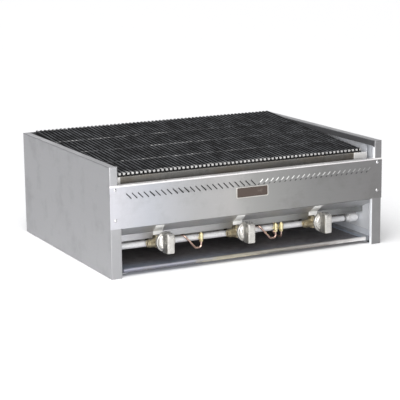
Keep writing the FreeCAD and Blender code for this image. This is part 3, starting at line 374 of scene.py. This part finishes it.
def painted_louvre_light(tone):
    """Painted shade in the left group of louvres, a painted highlight above painted shade in the right group,
    and a painted highlight on the top roll.
    """
    height = place_in("Z")
    side = place_in("X")
    # Painted shade in the louvre hoods, with painted highlights on the upper part of the right group.
    hoods = between(facing("Y"), -0.985, -0.97) * between(height, LOUVRES_LOW, LOUVRES_LOW + LOUVRES_FADE)
    hoods = hoods * between(height, LOUVRES_HIGH, LOUVRES_HIGH - LOUVRES_FADE)
    lit = between(side, 0.005, 0.015) * between(height, 0.2345, 0.2390) * between(side, 0.60, 0.05)
    tone = tint(hoods, tone, tint(lit, (0.10, 0.10, 0.10), (0.90, 0.90, 0.88)))
    # Painted highlight along the top roll.
    return tint(between(height, LEDGE_ROLL_LOW, LEDGE_ROLL_HIGH), tone, LEDGE_HIGHLIGHT_TONE)


# The drift stops are a painted falloff of light: bright at the left, darker towards the right.
panel_steel = brushed_sheet("brushed_panel_steel", (0.74, 0.735, 0.74), (0.60, 0.60, 0.61), "X", 0.30,
                            (0.52, 0.51, 0.50), 0.4, 0.3,
                            drift=[(0.0, (0.84, 0.84, 0.88)), (0.14, (0.69, 0.71, 0.75)),
                                   (0.3, (0.64, 0.64, 0.635)), (0.42, (0.70, 0.69, 0.67)),
                                   (0.52, (0.54, 0.54, 0.52)), (0.75, (0.40, 0.40, 0.39)),
                                   (1.0, (0.36, 0.355, 0.35))],
                            pressed=painted_louvre_light, painted_top_highlight=LEDGE_HIGHLIGHT_TONE)
dressed("front_panel", PANEL_EDGE, "front_panel_louvred", panel_steel, thin=True)


# Badge: a thin enamelled plate, left without words, inside a bright pressed frame. It lies flat
# on the front panel, under the place where the two groups of louvres meet.
badge_enamel = new_finish("dark_badge_enamel")
fired = grain(140.0, detail=4.0)
worn = between(grain(45.0, detail=5.0), 0.58, 0.7)
coat(tint(worn, (0.060, 0.043, 0.035), (0.13, 0.105, 0.09)), 0.0, 0.42 + 0.2 * worn, fired, 0.15, 0.0004,
     {"Coat Weight": 0.12, "Specular IOR Level": 0.3})
dressed("badge_plate", TURNED_EDGE, "badge_plate_enamelled", badge_enamel, 3)
badge_bright = brushed_sheet("bright_badge_frame", (0.80, 0.78, 0.74), (0.60, 0.58, 0.54), "X", 0.18,
                             (0.35, 0.32, 0.28), 0.5)
dressed("badge_rim", SHEET_EDGE, "badge_frame_pressed", badge_bright, 3)


# Panel screws: four zinc-plated dome heads with a cross recess, driven through the front panel
# into the side flanges. One is turned and driven, and the rest are the same screw.
SCREW_HEAD_R = 0.005
SCREW_RISE = 0.0024
SCREW_SHANK_R = 0.0022
SCREW_SHANK = 0.0085
SCREW_EDGE = 0.00012
DOME_STEPS = 8
RECESS_REACH = 0.0022
RECESS_HALF = 0.00045
RECESS_FLOOR = 0.0009
RECESS_TOP = 0.003
QUARTER = math.pi / 2


def turned(name, profile, sides=48):
    """A bar turned on the lathe: a disc drawn upwards through pairs of height and radius."""
    bpy.ops.object.select_all(action="DESELECT")
    reach, radius = profile[0]
    bpy.ops.mesh.primitive_circle_add(vertices=sides, radius=radius, fill_type="NGON",
                                      location=(0, 0, reach))
    piece = bpy.context.object
    piece.name = name
    bpy.ops.object.mode_set(mode="EDIT")
    bpy.ops.mesh.select_all(action="SELECT")
    for far, wide in profile[1:]:
        bpy.ops.mesh.extrude_region_move(TRANSFORM_OT_translate={"value": (0, 0, far - reach)})
        bpy.ops.transform.resize(value=(wide / radius, wide / radius, 1), center_override=(0, 0, far))
        reach, radius = far, wide
    bpy.ops.mesh.select_all(action="SELECT")
    bpy.ops.mesh.normals_make_consistent(inside=False)
    bpy.ops.object.mode_set(mode="OBJECT")
    bpy.ops.object.transform_apply(location=True, rotation=True, scale=True)
    return piece


def settle(piece, place, turn=(0, 0, 0)):
    """Turns a piece, carries it to its place, and leaves that in its mesh."""
    picked(piece)
    piece.rotation_euler = turn
    piece.location = place
    bpy.ops.object.transform_apply(location=True, rotation=True, scale=True)
    return piece


def carved(piece, cutter, kind="DIFFERENCE"):
    """Cuts a piece with another, or welds the other to it, and clears the other away."""
    picked(piece)
    cut = piece.modifiers.new("carve", "BOOLEAN")
    cut.operation = kind
    cut.solver = "EXACT"
    cut.object = cutter
    bpy.ops.object.modifier_apply(modifier="carve")
    bpy.data.objects.remove(cutter)


def block(name, low, high):
    """A block of bar stock between two corners."""
    bpy.ops.object.select_all(action="DESELECT")
    middle = [(a + b) / 2 for a, b in zip(low, high)]
    size = [b - a for a, b in zip(low, high)]
    bpy.ops.mesh.primitive_cube_add(size=1, location=middle, scale=size)
    bpy.ops.object.transform_apply(location=True, rotation=True, scale=True)
    bpy.context.object.name = name
    return bpy.context.object


def copied(piece, name, shift):
    """Another of the same piece, with its own mesh, moved along."""
    twin = piece.copy()
    twin.data = piece.data.copy()
    twin.name = name
    bpy.context.scene.collection.objects.link(twin)
    twin.data.transform(Matrix.Translation(shift))
    return twin


def joined(name, pieces):
    """Several loose pieces of one kind kept as one object."""
    bpy.ops.object.select_all(action="DESELECT")
    for piece in pieces:
        piece.select_set(True)
    bpy.context.view_layer.objects.active = pieces[0]
    bpy.ops.object.join()
    pieces[0].name = name
    return pieces[0]


zinc = new_finish("zinc_plate")
crystals = grain(220.0, detail=3.0)
dull = between(grain(70.0, detail=5.0), 0.45, 0.7)
coat(tint(dull, (0.66, 0.66, 0.67), (0.42, 0.41, 0.39)), 1.0, 0.24 + 0.25 * dull, crystals, 0.2, 0.0003)
dome_bow = (SCREW_HEAD_R ** 2 + SCREW_RISE ** 2) / (2 * SCREW_RISE)
dome = []
for step in range(DOME_STEPS):
    rise = SCREW_RISE * math.sin(step / DOME_STEPS * math.pi / 2)
    dome.append((rise, math.sqrt(dome_bow ** 2 - (dome_bow - SCREW_RISE + rise) ** 2)))
dome.append((SCREW_RISE * 0.995, SCREW_HEAD_R * 0.12))
shank = [(-SCREW_SHANK, SCREW_SHANK_R), (0, SCREW_SHANK_R), (0, SCREW_HEAD_R)]
screw = turned("cross_head_screw", shank + dome[1:])
for angle in (0, QUARTER):
    wing = block("recess", (-RECESS_REACH, -RECESS_HALF, RECESS_FLOOR),
                 (RECESS_REACH, RECESS_HALF, RECESS_TOP))
    carved(screw, settle(wing, (0, 0, 0), (0, 0, angle)))
smoothed(screw, SCREW_EDGE)
settle(screw, (0, 0, 0), (QUARTER, 0, 0))
screw_low, screw_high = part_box("panel_screws")
panel_face = screw_low.y + SCREW_RISE
screw_spots = [(x, z) for x in (screw_low.x + SCREW_HEAD_R, screw_high.x - SCREW_HEAD_R)
               for z in (screw_low.z + SCREW_HEAD_R, screw_high.z - SCREW_HEAD_R)]
screws = [copied(screw, "panel_screw", (x, panel_face, z)) for x, z in screw_spots]
bpy.data.objects.remove(screw)
fitted(joined("panel_screws_driven", screws), "panel_screws", zinc)


# Heat deflector: a sheet hung under the front panel that slopes back over the valves. The fire
# behind it has dulled the steel. The white patch above each knob is a painted highlight, and the lip
# is painted lighter at the left and darker at the right as a painted falloff of light.
SPOT_HALF = 0.0145
SPOT_FADE = 0.002
SPOT_LEFT = 0.028
SPOT_LEAN = 0.033
SPOT_WIDENING = 0.002
LIP_TOP = 0.1015
LIP_FADE = 0.0015


def apart(value, spot):
    """How far a value lies from a spot, either way."""
    return Wire.node("ShaderNodeMath", {"operation": "ABSOLUTE"}, {0: value - spot})


deflector_steel = new_finish("smoked_deflector_steel")
rolled = grain(9.0, (0.8, 90.0, 90.0), 4.0, 0.7)
smoke = between(grain(11.0, detail=6.0, harsh=0.65), 0.48, 0.74)
deflector_tone = tint(rolled, (0.58, 0.58, 0.585), (0.68, 0.68, 0.69))
deflector_tone = tint(smoke * 0.35, deflector_tone, (0.44, 0.42, 0.40))
# Painted highlights: a white streak on the slope and lip above each knob.
painted_knob_highlights = 0.0
deflector_low, deflector_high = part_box("heat_deflector")
slant = between(place_in("Y"), deflector_low.y + 0.002, deflector_high.y - 0.002)
for k in (1, 2, 3):
    low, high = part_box(f"knob_{k}")
    streak = place_in("X") - SPOT_LEAN * slant
    aside = apart(streak, (low.x + high.x) / 2 - SPOT_LEFT) - SPOT_WIDENING * slant
    painted_knob_highlights = between(aside, SPOT_HALF, SPOT_HALF - SPOT_FADE) + painted_knob_highlights
# Painted falloff of light along the lip, bright at the left and darker at the right.
lip_painted_falloff = blended([(0.0, (0.90, 0.90, 0.93)), (0.5, (0.60, 0.60, 0.58)), (1.0, (0.46, 0.47, 0.46))],
                   between(place_in("X"), deflector_low.x, deflector_high.x))
deflector_tone = tint(between(place_in("Z"), LIP_TOP, LIP_TOP - LIP_FADE), deflector_tone,
                      tint(1.0, deflector_tone, lip_painted_falloff, "MULTIPLY"))
# The painted highlights turn the steel white and nearly non-metallic.
painted_highlight_share = painted_knob_highlights * (1.0 - 0.1 * smoke)
coat(tint(painted_highlight_share, deflector_tone, (1.0, 1.0, 0.98)), 1.0 - 0.95 * painted_highlight_share, 0.42 + 0.15 * smoke + 0.1 * rolled,
     rolled + 0.5 * smoke, 0.12, 0.0005)
dressed("heat_deflector", SHEET_EDGE, "heat_deflector_folded", deflector_steel)


# Firebox: folded channels front and back that carry the grates and radiants, liners inside the
# side walls, and two bright end tabs. Heat has left straw and brown colours near the fire.
def scorched_sheet(name, light, dark, rough, straw, blue, metal=0.9, sooty=0.7):
    """Sheet steel beside the fire: dulled, with drifting straw, brown and blue heat colours and soot."""
    finish = new_finish(name)
    lines = grain(9.0, (0.8, 90.0, 90.0), 4.0, 0.7)
    clouds = grain(5.0, detail=6.0, harsh=0.65)
    heat = grain(7.0, (1.0, 1.4, 2.5), 4.0, 0.6)
    soot = between(grain(17.0, detail=7.0, harsh=0.7), 0.48, 0.75)
    tone = tint(clouds, dark, light)
    tone = tint(between(heat, 0.45, 0.75) * 0.7, tone, straw)
    tone = tint(between(heat, 0.62, 0.85) * 0.6, tone, blue)
    tone = tint(soot * sooty, tone, (0.055, 0.05, 0.045))
    coat(tone, metal, rough + 0.3 * soot + 0.1 * lines, lines + clouds, 0.15, 0.0006)
    return finish


rail_steel = scorched_sheet("scorched_rail_steel", (0.34, 0.335, 0.32), (0.22, 0.215, 0.205), 0.42,
                            (0.30, 0.24, 0.16), (0.16, 0.17, 0.22))
for node in ("firebox_front", "firebox_rear"):
    dressed(node, SHEET_EDGE, node + "_channel", rail_steel)
liner_steel = scorched_sheet("liner_steel", (0.88, 0.90, 0.94), (0.74, 0.76, 0.81), 0.40,
                             (0.66, 0.64, 0.62), (0.56, 0.60, 0.68), 0.25, 0.3)
for node in ("firebox_liner_left", "firebox_liner_right"):
    dressed(node, SHEET_EDGE, node + "_folded", liner_steel)
tab_steel = scorched_sheet("bright_tab_steel", (0.95, 0.94, 0.93), (0.84, 0.83, 0.82), 0.34,
                           (0.80, 0.77, 0.72), (0.74, 0.76, 0.80), 0.25, 0.15)
dressed("rail_tabs", SHEET_EDGE, "rail_tabs_dressed", tab_steel)


# Grates: six lift-out sections of cast iron, tapered bars tied by cast-in ribs. Seasoned black
# in the gaps, with the top of each bar scraped grey. The white bar ends along the front and the
# dotted glints over the ribs are painted highlights.
GRATE_EDGE = 0.0005
GRATE_SLOPE = math.radians(4.19)
RIB_STATIONS = (0.010, 0.134, 0.280, 0.426, 0.5886)
RIB_HALF = 0.0050
RIB_FADE = 0.0014
TEETH_LOW = 0.2860
TEETH_HIGH = 0.2875


def cast_iron(name, skin, worn_tone, rust, rough, worn_share, painted_glints=None):
    """Sand-cast iron: pitted skin, rubbed grey where it faces up, with traces of rust, and painted highlights
    where glint marks are given.
    """
    finish = new_finish(name)
    sand = grain(420.0, detail=3.0, harsh=0.7)
    lumps = grain(60.0, detail=5.0, harsh=0.6)
    rubbed = between(facing("Z"), 0.85, 0.99) * between(grain(34.0, (1.0, 0.4, 1.0), 5.0, 0.6), 0.38, 0.66)
    rusty = between(grain(25.0, detail=6.0, harsh=0.7), 0.60, 0.78)
    tone = tint(lumps, skin, tuple(c * 1.7 for c in skin))
    tone = tint(rubbed * worn_share, tone, worn_tone)
    tone = tint(rusty * 0.35, tone, rust)
    gloss = rough + 0.2 * (1 - rubbed)
    # Painted highlights: near-white where the glint marks fall.
    if painted_glints:
        bright = painted_glints() * (0.55 + 0.9 * (lumps - 0.3))
        tone = tint(bright, tone, (0.86, 0.85, 0.83))
        gloss = gloss - 0.15 * bright
    coat(tone, 0.35, gloss, sand + 2.0 * lumps, 0.35, 0.0007, {"Specular IOR Level": 0.35})
    return finish


def painted_grate_glints():
    """Painted highlights: white glints on the bar ends at the front edge, and dotted glints on the bar tops
    over the ribs.
    """
    along = place_in("Y")
    over = place_in("Z") - math.tan(GRATE_SLOPE) * along
    marks = between(along, low_front.y + 0.0035, low_front.y + 0.0020)
    marks = marks * between(place_in("Z"), TEETH_LOW, TEETH_HIGH)
    over_bars = between(over, bar_plane - 0.0003, bar_plane - 0.0001) * between(grain(38.0), 0.42, 0.62)
    over_bars = over_bars * between(place_in("X"), 0.25, -0.20) * 0.8
    for rib in rib_lines:
        marks = marks + between(apart(along, rib), RIB_HALF, RIB_HALF - RIB_FADE) * over_bars
    return marks


low_front, high_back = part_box("grate_1")
rib_lines = [low_front.y + station * math.cos(GRATE_SLOPE) for station in RIB_STATIONS]
bar_plane = high_back.z - math.tan(GRATE_SLOPE) * high_back.y
grate_iron = cast_iron("seasoned_grate_iron", (0.014, 0.014, 0.015), (0.15, 0.155, 0.165),
                       (0.05, 0.032, 0.02), 0.46, 0.75, painted_glints=painted_grate_glints)
for k in range(1, 7):
    dressed(f"grate_{k}", GRATE_EDGE, f"grate_{k}_cast", grate_iron)


# Radiants: folded steel roofs over the burners, slotted, blued and scaled by the flames.
radiant_steel = scorched_sheet("blued_radiant_steel", (0.26, 0.25, 0.24), (0.14, 0.135, 0.13), 0.5,
                               (0.26, 0.17, 0.09), (0.09, 0.10, 0.17))
for k in (1, 2, 3):
    dressed(f"radiant_{k}", TURNED_EDGE, f"radiant_{k}_folded", radiant_steel)


# Burners: hollow iron castings with drilled ports, on folded cross supports, each with a
# plated shutter disc that turns on its mouth to set the air.
burner_iron = cast_iron("burner_iron", (0.055, 0.050, 0.046), (0.13, 0.12, 0.11), (0.13, 0.07, 0.035),
                        0.55, 0.5)
support_steel = scorched_sheet("support_steel", (0.42, 0.42, 0.42), (0.28, 0.28, 0.28), 0.42,
                               (0.33, 0.28, 0.2), (0.2, 0.22, 0.27))
shutter_steel = brushed_sheet("plated_shutter_steel", (0.58, 0.57, 0.54), (0.42, 0.41, 0.38), "X", 0.3,
                              (0.3, 0.27, 0.2), 0.5)
for k in (1, 2, 3):
    dressed(f"burner_{k}", CAST_EDGE, f"burner_{k}_cast", burner_iron)
    dressed(f"air_shutter_{k}", SHEET_EDGE, f"air_shutter_{k}_disc", shutter_steel)
for node in ("burner_support_front", "burner_support_rear"):
    dressed(node, TURNED_EDGE, node + "_folded", support_steel)


# Manifold: pale aluminium-painted gas pipe across the front, capped at the left and turned to
# the rear by a painted elbow at the right, strapped to the deflector lip. The supply pipe runs
# back along the wall to the inlet.
def bar_metal(name, bright, tarnish, rough, share, metallic=1.0, relief=0.12):
    """Drawn, turned or cast small metal parts: handled bright, with tarnish in drifts and specks."""
    finish = new_finish(name)
    drift = between(grain(42.0, detail=5.0, harsh=0.6), 0.40, 0.68)
    specks = between(grain(240.0, detail=3.0, harsh=0.6), 0.60, 0.72)
    fine = grain(600.0, detail=2.0)
    tone = tint(drift * share, bright, tarnish)
    tone = tint(specks * 0.5, tone, tuple(c * 0.4 for c in tarnish))
    coat(tone, metallic, rough + 0.22 * drift + 0.15 * specks, fine + drift, relief, 0.0004)
    return finish


pipe_paint = bar_metal("aluminium_painted_pipe", (0.97, 0.97, 0.98), (0.84, 0.83, 0.81), 0.30, 0.4, 0.2)
fitting_iron = bar_metal("malleable_fitting", (0.52, 0.52, 0.52), (0.26, 0.24, 0.22), 0.42, 0.7, 0.8, 0.3)
strap_steel = brushed_sheet("strap_steel", (0.60, 0.60, 0.60), (0.42, 0.42, 0.42), "Z", 0.3,
                            (0.3, 0.28, 0.25), 0.4)
for node in ("manifold_pipe", "supply_pipe", "manifold_elbow"):
    dressed(node, TURNED_EDGE, node + "_painted", pipe_paint)
for node in ("manifold_cap", "gas_inlet"):
    dressed(node, CAST_EDGE, node + "_threaded", fitting_iron)
dressed("manifold_hangers", SHEET_EDGE, "manifold_hangers_bent", strap_steel)


# Valves: turned brass bodies with a hexagon collar, a steel stem to the knob, and a hexagon
# jet hood that blows into the burner mouth.
VALVE_EDGE = 0.0005
brass = bar_metal("tarnished_brass", (0.66, 0.58, 0.40), (0.30, 0.24, 0.15), 0.28, 0.8, 0.8)
stem_steel = bar_metal("stem_steel", (0.62, 0.62, 0.62), (0.36, 0.35, 0.33), 0.25, 0.5)
for k in (1, 2, 3):
    dressed(f"gas_valve_{k}", VALVE_EDGE, f"gas_valve_{k}_turned", brass)
    dressed(f"orifice_hood_{k}", TURNED_EDGE, f"orifice_hood_{k}_hexagon", brass)
    dressed(f"valve_stem_{k}", SHEET_EDGE, f"valve_stem_{k}_turned", stem_steel)


# Knobs: chunky die castings, polished, with a low round skirt and a broad upright grip fluted down
# each side for the fingers. Each is pushed on to the flat of its valve stem. The flutes are darkened
# with grime and painted shade, and the faces turned to the left and to the front carry painted shade.
KNOB_SKIRT_R = 0.0305
KNOB_SKIRT = 0.008
KNOB_CROWN = 0.014
KNOB_DEPTH = 0.0425
KNOB_EDGE = 0.0006
KNOB_EDGE_ANGLE = math.radians(40)
KNOB_SIDES = 72
HOLLOW_R = 0.027
HOLLOW_DEPTH = 0.003
HUB_R = 0.009
HUB = 0.002
HUB_ROOT = 0.0045
GRIP_HEIGHT = 0.062
GRIP_ROOT = 0.027
GRIP_TIP = 0.024
GRIP_START = 0.004
GRIP_EDGE = 0.004
GRIP_EDGE_STEPS = 5
GRIP_SHORTENING = 0.94
FLUTE_R = 0.014
FLUTE_OUT = 0.0245
FLUTE_RISE = 0.025
FLUTE_REACH = 0.05
GRIME_AND_SHADE_DEPTH = 0.0015
GRIME_AND_SHADE_START = 0.0225
GRIME_AND_SHADE_FADE = 0.004
knob_metal = new_finish("polished_knob_casting")
drift = between(grain(42.0, detail=5.0, harsh=0.6), 0.40, 0.68)
specks = between(grain(240.0, detail=3.0, harsh=0.6), 0.60, 0.72)
# Grime and painted shade in the flutes, read from the layer made below.
grime = Wire.node("ShaderNodeAttribute", {"attribute_name": "grime"}, out="Fac") * (0.55 + 0.45 * drift)
cast_tone = tint(drift * 0.55, (0.70, 0.685, 0.65), (0.50, 0.48, 0.44))
cast_tone = tint(specks * 0.45, cast_tone, (0.33, 0.30, 0.25))
cast_tone = tint(grime * 0.9, cast_tone, (0.09, 0.085, 0.06))
# Painted shade: faces turned to the left and to the front are darkened.
cast_tone = tint(between(facing("X"), -0.2, -0.8) * 0.55, cast_tone, (0.26, 0.25, 0.22))
cast_tone = tint(between(facing("Y"), -0.8, -0.95) * 0.35, cast_tone, (0.30, 0.295, 0.28))
coat(cast_tone, 0.85 - 0.35 * grime, 0.24 + 0.2 * drift + 0.2 * grime, drift + 0.6 * specks, 0.25, 0.0005)
knob = turned("knob", [(0.0, KNOB_SKIRT_R - 0.0008), (0.0010, KNOB_SKIRT_R),
                       (KNOB_SKIRT - 0.0015, KNOB_SKIRT_R), (KNOB_SKIRT, KNOB_SKIRT_R - 0.0012),
                       (KNOB_SKIRT + 0.0002, 0.0272), (0.0105, 0.0258),
                       (KNOB_CROWN - 0.0008, 0.0226), (KNOB_CROWN, 0.0210)], KNOB_SIDES)
grip = block("grip", (-GRIP_ROOT / 2, -GRIP_HEIGHT / 2, GRIP_START),
             (GRIP_ROOT / 2, GRIP_HEIGHT / 2, KNOB_DEPTH))
bpy.ops.object.mode_set(mode="EDIT")
bpy.ops.mesh.select_mode(type="FACE")
bpy.ops.mesh.select_all(action="DESELECT")
bpy.ops.object.mode_set(mode="OBJECT")
for face in grip.data.polygons:
    face.select = face.normal.z > 0.9
bpy.ops.object.mode_set(mode="EDIT")
bpy.ops.transform.resize(value=(GRIP_TIP / GRIP_ROOT, GRIP_SHORTENING, 1),
                         center_override=(0, 0, KNOB_DEPTH))
bpy.ops.object.mode_set(mode="OBJECT")
smoothed(grip, GRIP_EDGE, EDGE_ANGLE, GRIP_EDGE_STEPS)
for side in (-1, 1):
    flute = turned("flute", [(-FLUTE_REACH, FLUTE_R), (FLUTE_REACH, FLUTE_R)], KNOB_SIDES)
    settle(flute, (0, 0, 0), (QUARTER, 0, 0))
    carved(grip, settle(flute, (side * FLUTE_OUT, 0, FLUTE_RISE)))
carved(knob, grip, "UNION")
carved(knob, turned("skirt_hollow", [(-0.01, HOLLOW_R), (HOLLOW_DEPTH, HOLLOW_R)]))
carved(knob, turned("hub", [(-HUB, HUB_R), (HUB_ROOT, HUB_R)]), "UNION")
smoothed(knob, KNOB_EDGE, KNOB_EDGE_ANGLE)
bpy.ops.object.mode_set(mode="EDIT")
bpy.ops.mesh.select_all(action="SELECT")
bpy.ops.mesh.subdivide(number_cuts=2)
bpy.ops.object.mode_set(mode="OBJECT")
# A layer for grime and painted shade: dark in each flute towards the front of the grip.
grime_and_shade_layer = knob.data.attributes.new("grime", "FLOAT", "POINT")
for spot in knob.data.vertices:
    deep = math.hypot(abs(spot.co.x) - FLUTE_OUT, spot.co.z - FLUTE_RISE)
    in_flute = max(0.0, 1.0 - abs(deep - FLUTE_R) / GRIME_AND_SHADE_DEPTH)
    grime_and_shade_layer.data[spot.index].value = in_flute * max(0.0, min(1.0, (spot.co.z - GRIME_AND_SHADE_START) / GRIME_AND_SHADE_FADE))
for k in (1, 2, 3):
    low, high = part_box(f"knob_{k}")
    middle = (low + high) / 2
    cast = copied(knob, f"knob_{k}_cast", (0, 0, 0))
    settle(cast, (middle.x, high.y - HUB, middle.z), (QUARTER, 0, 0))
    fitted(cast, f"knob_{k}", knob_metal)
bpy.data.objects.remove(knob)


# Pilots: small brass valves on the front of the manifold, with bent copper tubes that run back
# to a steel tip beside each burner. Heat has pinked and darkened the copper.
TUBE_EDGE = 0.0002
copper = bar_metal("annealed_copper", (0.93, 0.68, 0.57), (0.55, 0.34, 0.27), 0.24, 0.55)
pilot_brass = bar_metal("bright_pilot_brass", (0.93, 0.84, 0.52), (0.58, 0.47, 0.22), 0.24, 0.5, 0.9)
tip_steel = bar_metal("pilot_tip_steel", (0.50, 0.49, 0.47), (0.25, 0.22, 0.19), 0.36, 0.7)
for k in (1, 2, 3):
    dressed(f"pilot_valve_{k}", TURNED_EDGE, f"pilot_valve_{k}_turned", pilot_brass)
    dressed(f"pilot_tube_{k}", TUBE_EDGE, f"pilot_tube_{k}_bent", copper)
    dressed(f"pilot_tip_{k}", TURNED_EDGE, f"pilot_tip_{k}_turned", tip_steel)


# Drip tray: a shallow folded pan that slides out on two angles. Its floor is dark with baked grease,
# with a bluish painted reflection at the front left. Along its rolled front lip and the web under it,
# painted reflections and painted shade run dark at the left, olive in the middle and white at the right.
TRAY_EDGE = 0.0004
TRAY_HALF = 0.44
BEAD_LOW = 0.0155
BEAD_HIGH = 0.0165
FLOOR_LEVEL = 0.0132
WALL_LEVEL = 0.0142
FRONT_EDGE_START = -0.332
FRONT_EDGE_FULL = -0.336
tray_steel = new_finish("greasy_tray_steel")
run = grain(12.0, (1.0, 0.6, 1.0), 6.0, 0.6)
film = between(grain(30.0, detail=7.0, harsh=0.7), 0.42, 0.70)
height = place_in("Z")
across = between(place_in("X"), -TRAY_HALF, TRAY_HALF) + 0.10 * (film - 0.5)
front_edge = between(place_in("Y"), FRONT_EDGE_START, FRONT_EDGE_FULL)
# Painted reflections along the bead, and painted light and shade on the web under it.
bead_painted_reflections = blended([(0.0, (0.30, 0.31, 0.37)), (0.28, (0.30, 0.31, 0.35)), (0.36, (0.34, 0.32, 0.25)),
                     (0.72, (0.28, 0.27, 0.26)), (0.86, (0.50, 0.49, 0.48)),
                     (1.0, (0.95, 0.95, 0.95))], across)
web_painted_light = blended([(0.0, (0.16, 0.16, 0.20)), (0.28, (0.12, 0.12, 0.14)), (0.36, (0.46, 0.43, 0.33)),
                    (0.50, (0.44, 0.40, 0.31)), (0.58, (0.13, 0.125, 0.115)), (0.78, (0.30, 0.27, 0.25)),
                    (0.90, (0.85, 0.85, 0.84)), (1.0, (0.95, 0.95, 0.95))], across)
front_tone = tint(between(height, BEAD_LOW, BEAD_HIGH), web_painted_light, bead_painted_reflections)
floor_tone = tint(run, (0.15, 0.14, 0.148), (0.24, 0.225, 0.235))
floor_tone = tint(film * 0.6, floor_tone, (0.10, 0.092, 0.095))
# Painted reflection: a bluish tint on the front of the floor, strongest at the left.
floor_tone = tint(between(place_in("Y"), -0.24, -0.33) * (1.0 - across), floor_tone, (0.30, 0.36, 0.47))
wall_tone = tint(run, (0.36, 0.42, 0.50), (0.56, 0.62, 0.70))
wall_tone = tint(film * 0.3, wall_tone, (0.20, 0.20, 0.22))
tray_tone = tint(between(height, FLOOR_LEVEL, WALL_LEVEL), floor_tone, wall_tone)
tray_tone = tint(front_edge, tray_tone, tint(film * 0.35, front_tone, (0.24, 0.22, 0.19)))
coat(tray_tone, 0.45, 0.32 + 0.2 * film, film + run, 0.2, 0.0006)
dressed("drip_tray", TRAY_EDGE, "drip_tray_folded", tray_steel, thin=True)
# The runners' inward faces are painted pale as painted light.
runner_steel = brushed_sheet("runner_steel", (0.60, 0.61, 0.63), (0.48, 0.49, 0.51), "Y", 0.36,
                             (0.36, 0.36, 0.37), 0.4, inside=(0.84, 0.87, 0.92))
for node in ("tray_runner_left", "tray_runner_right"):
    dressed(node, SHEET_EDGE, node + "_angle", runner_steel)
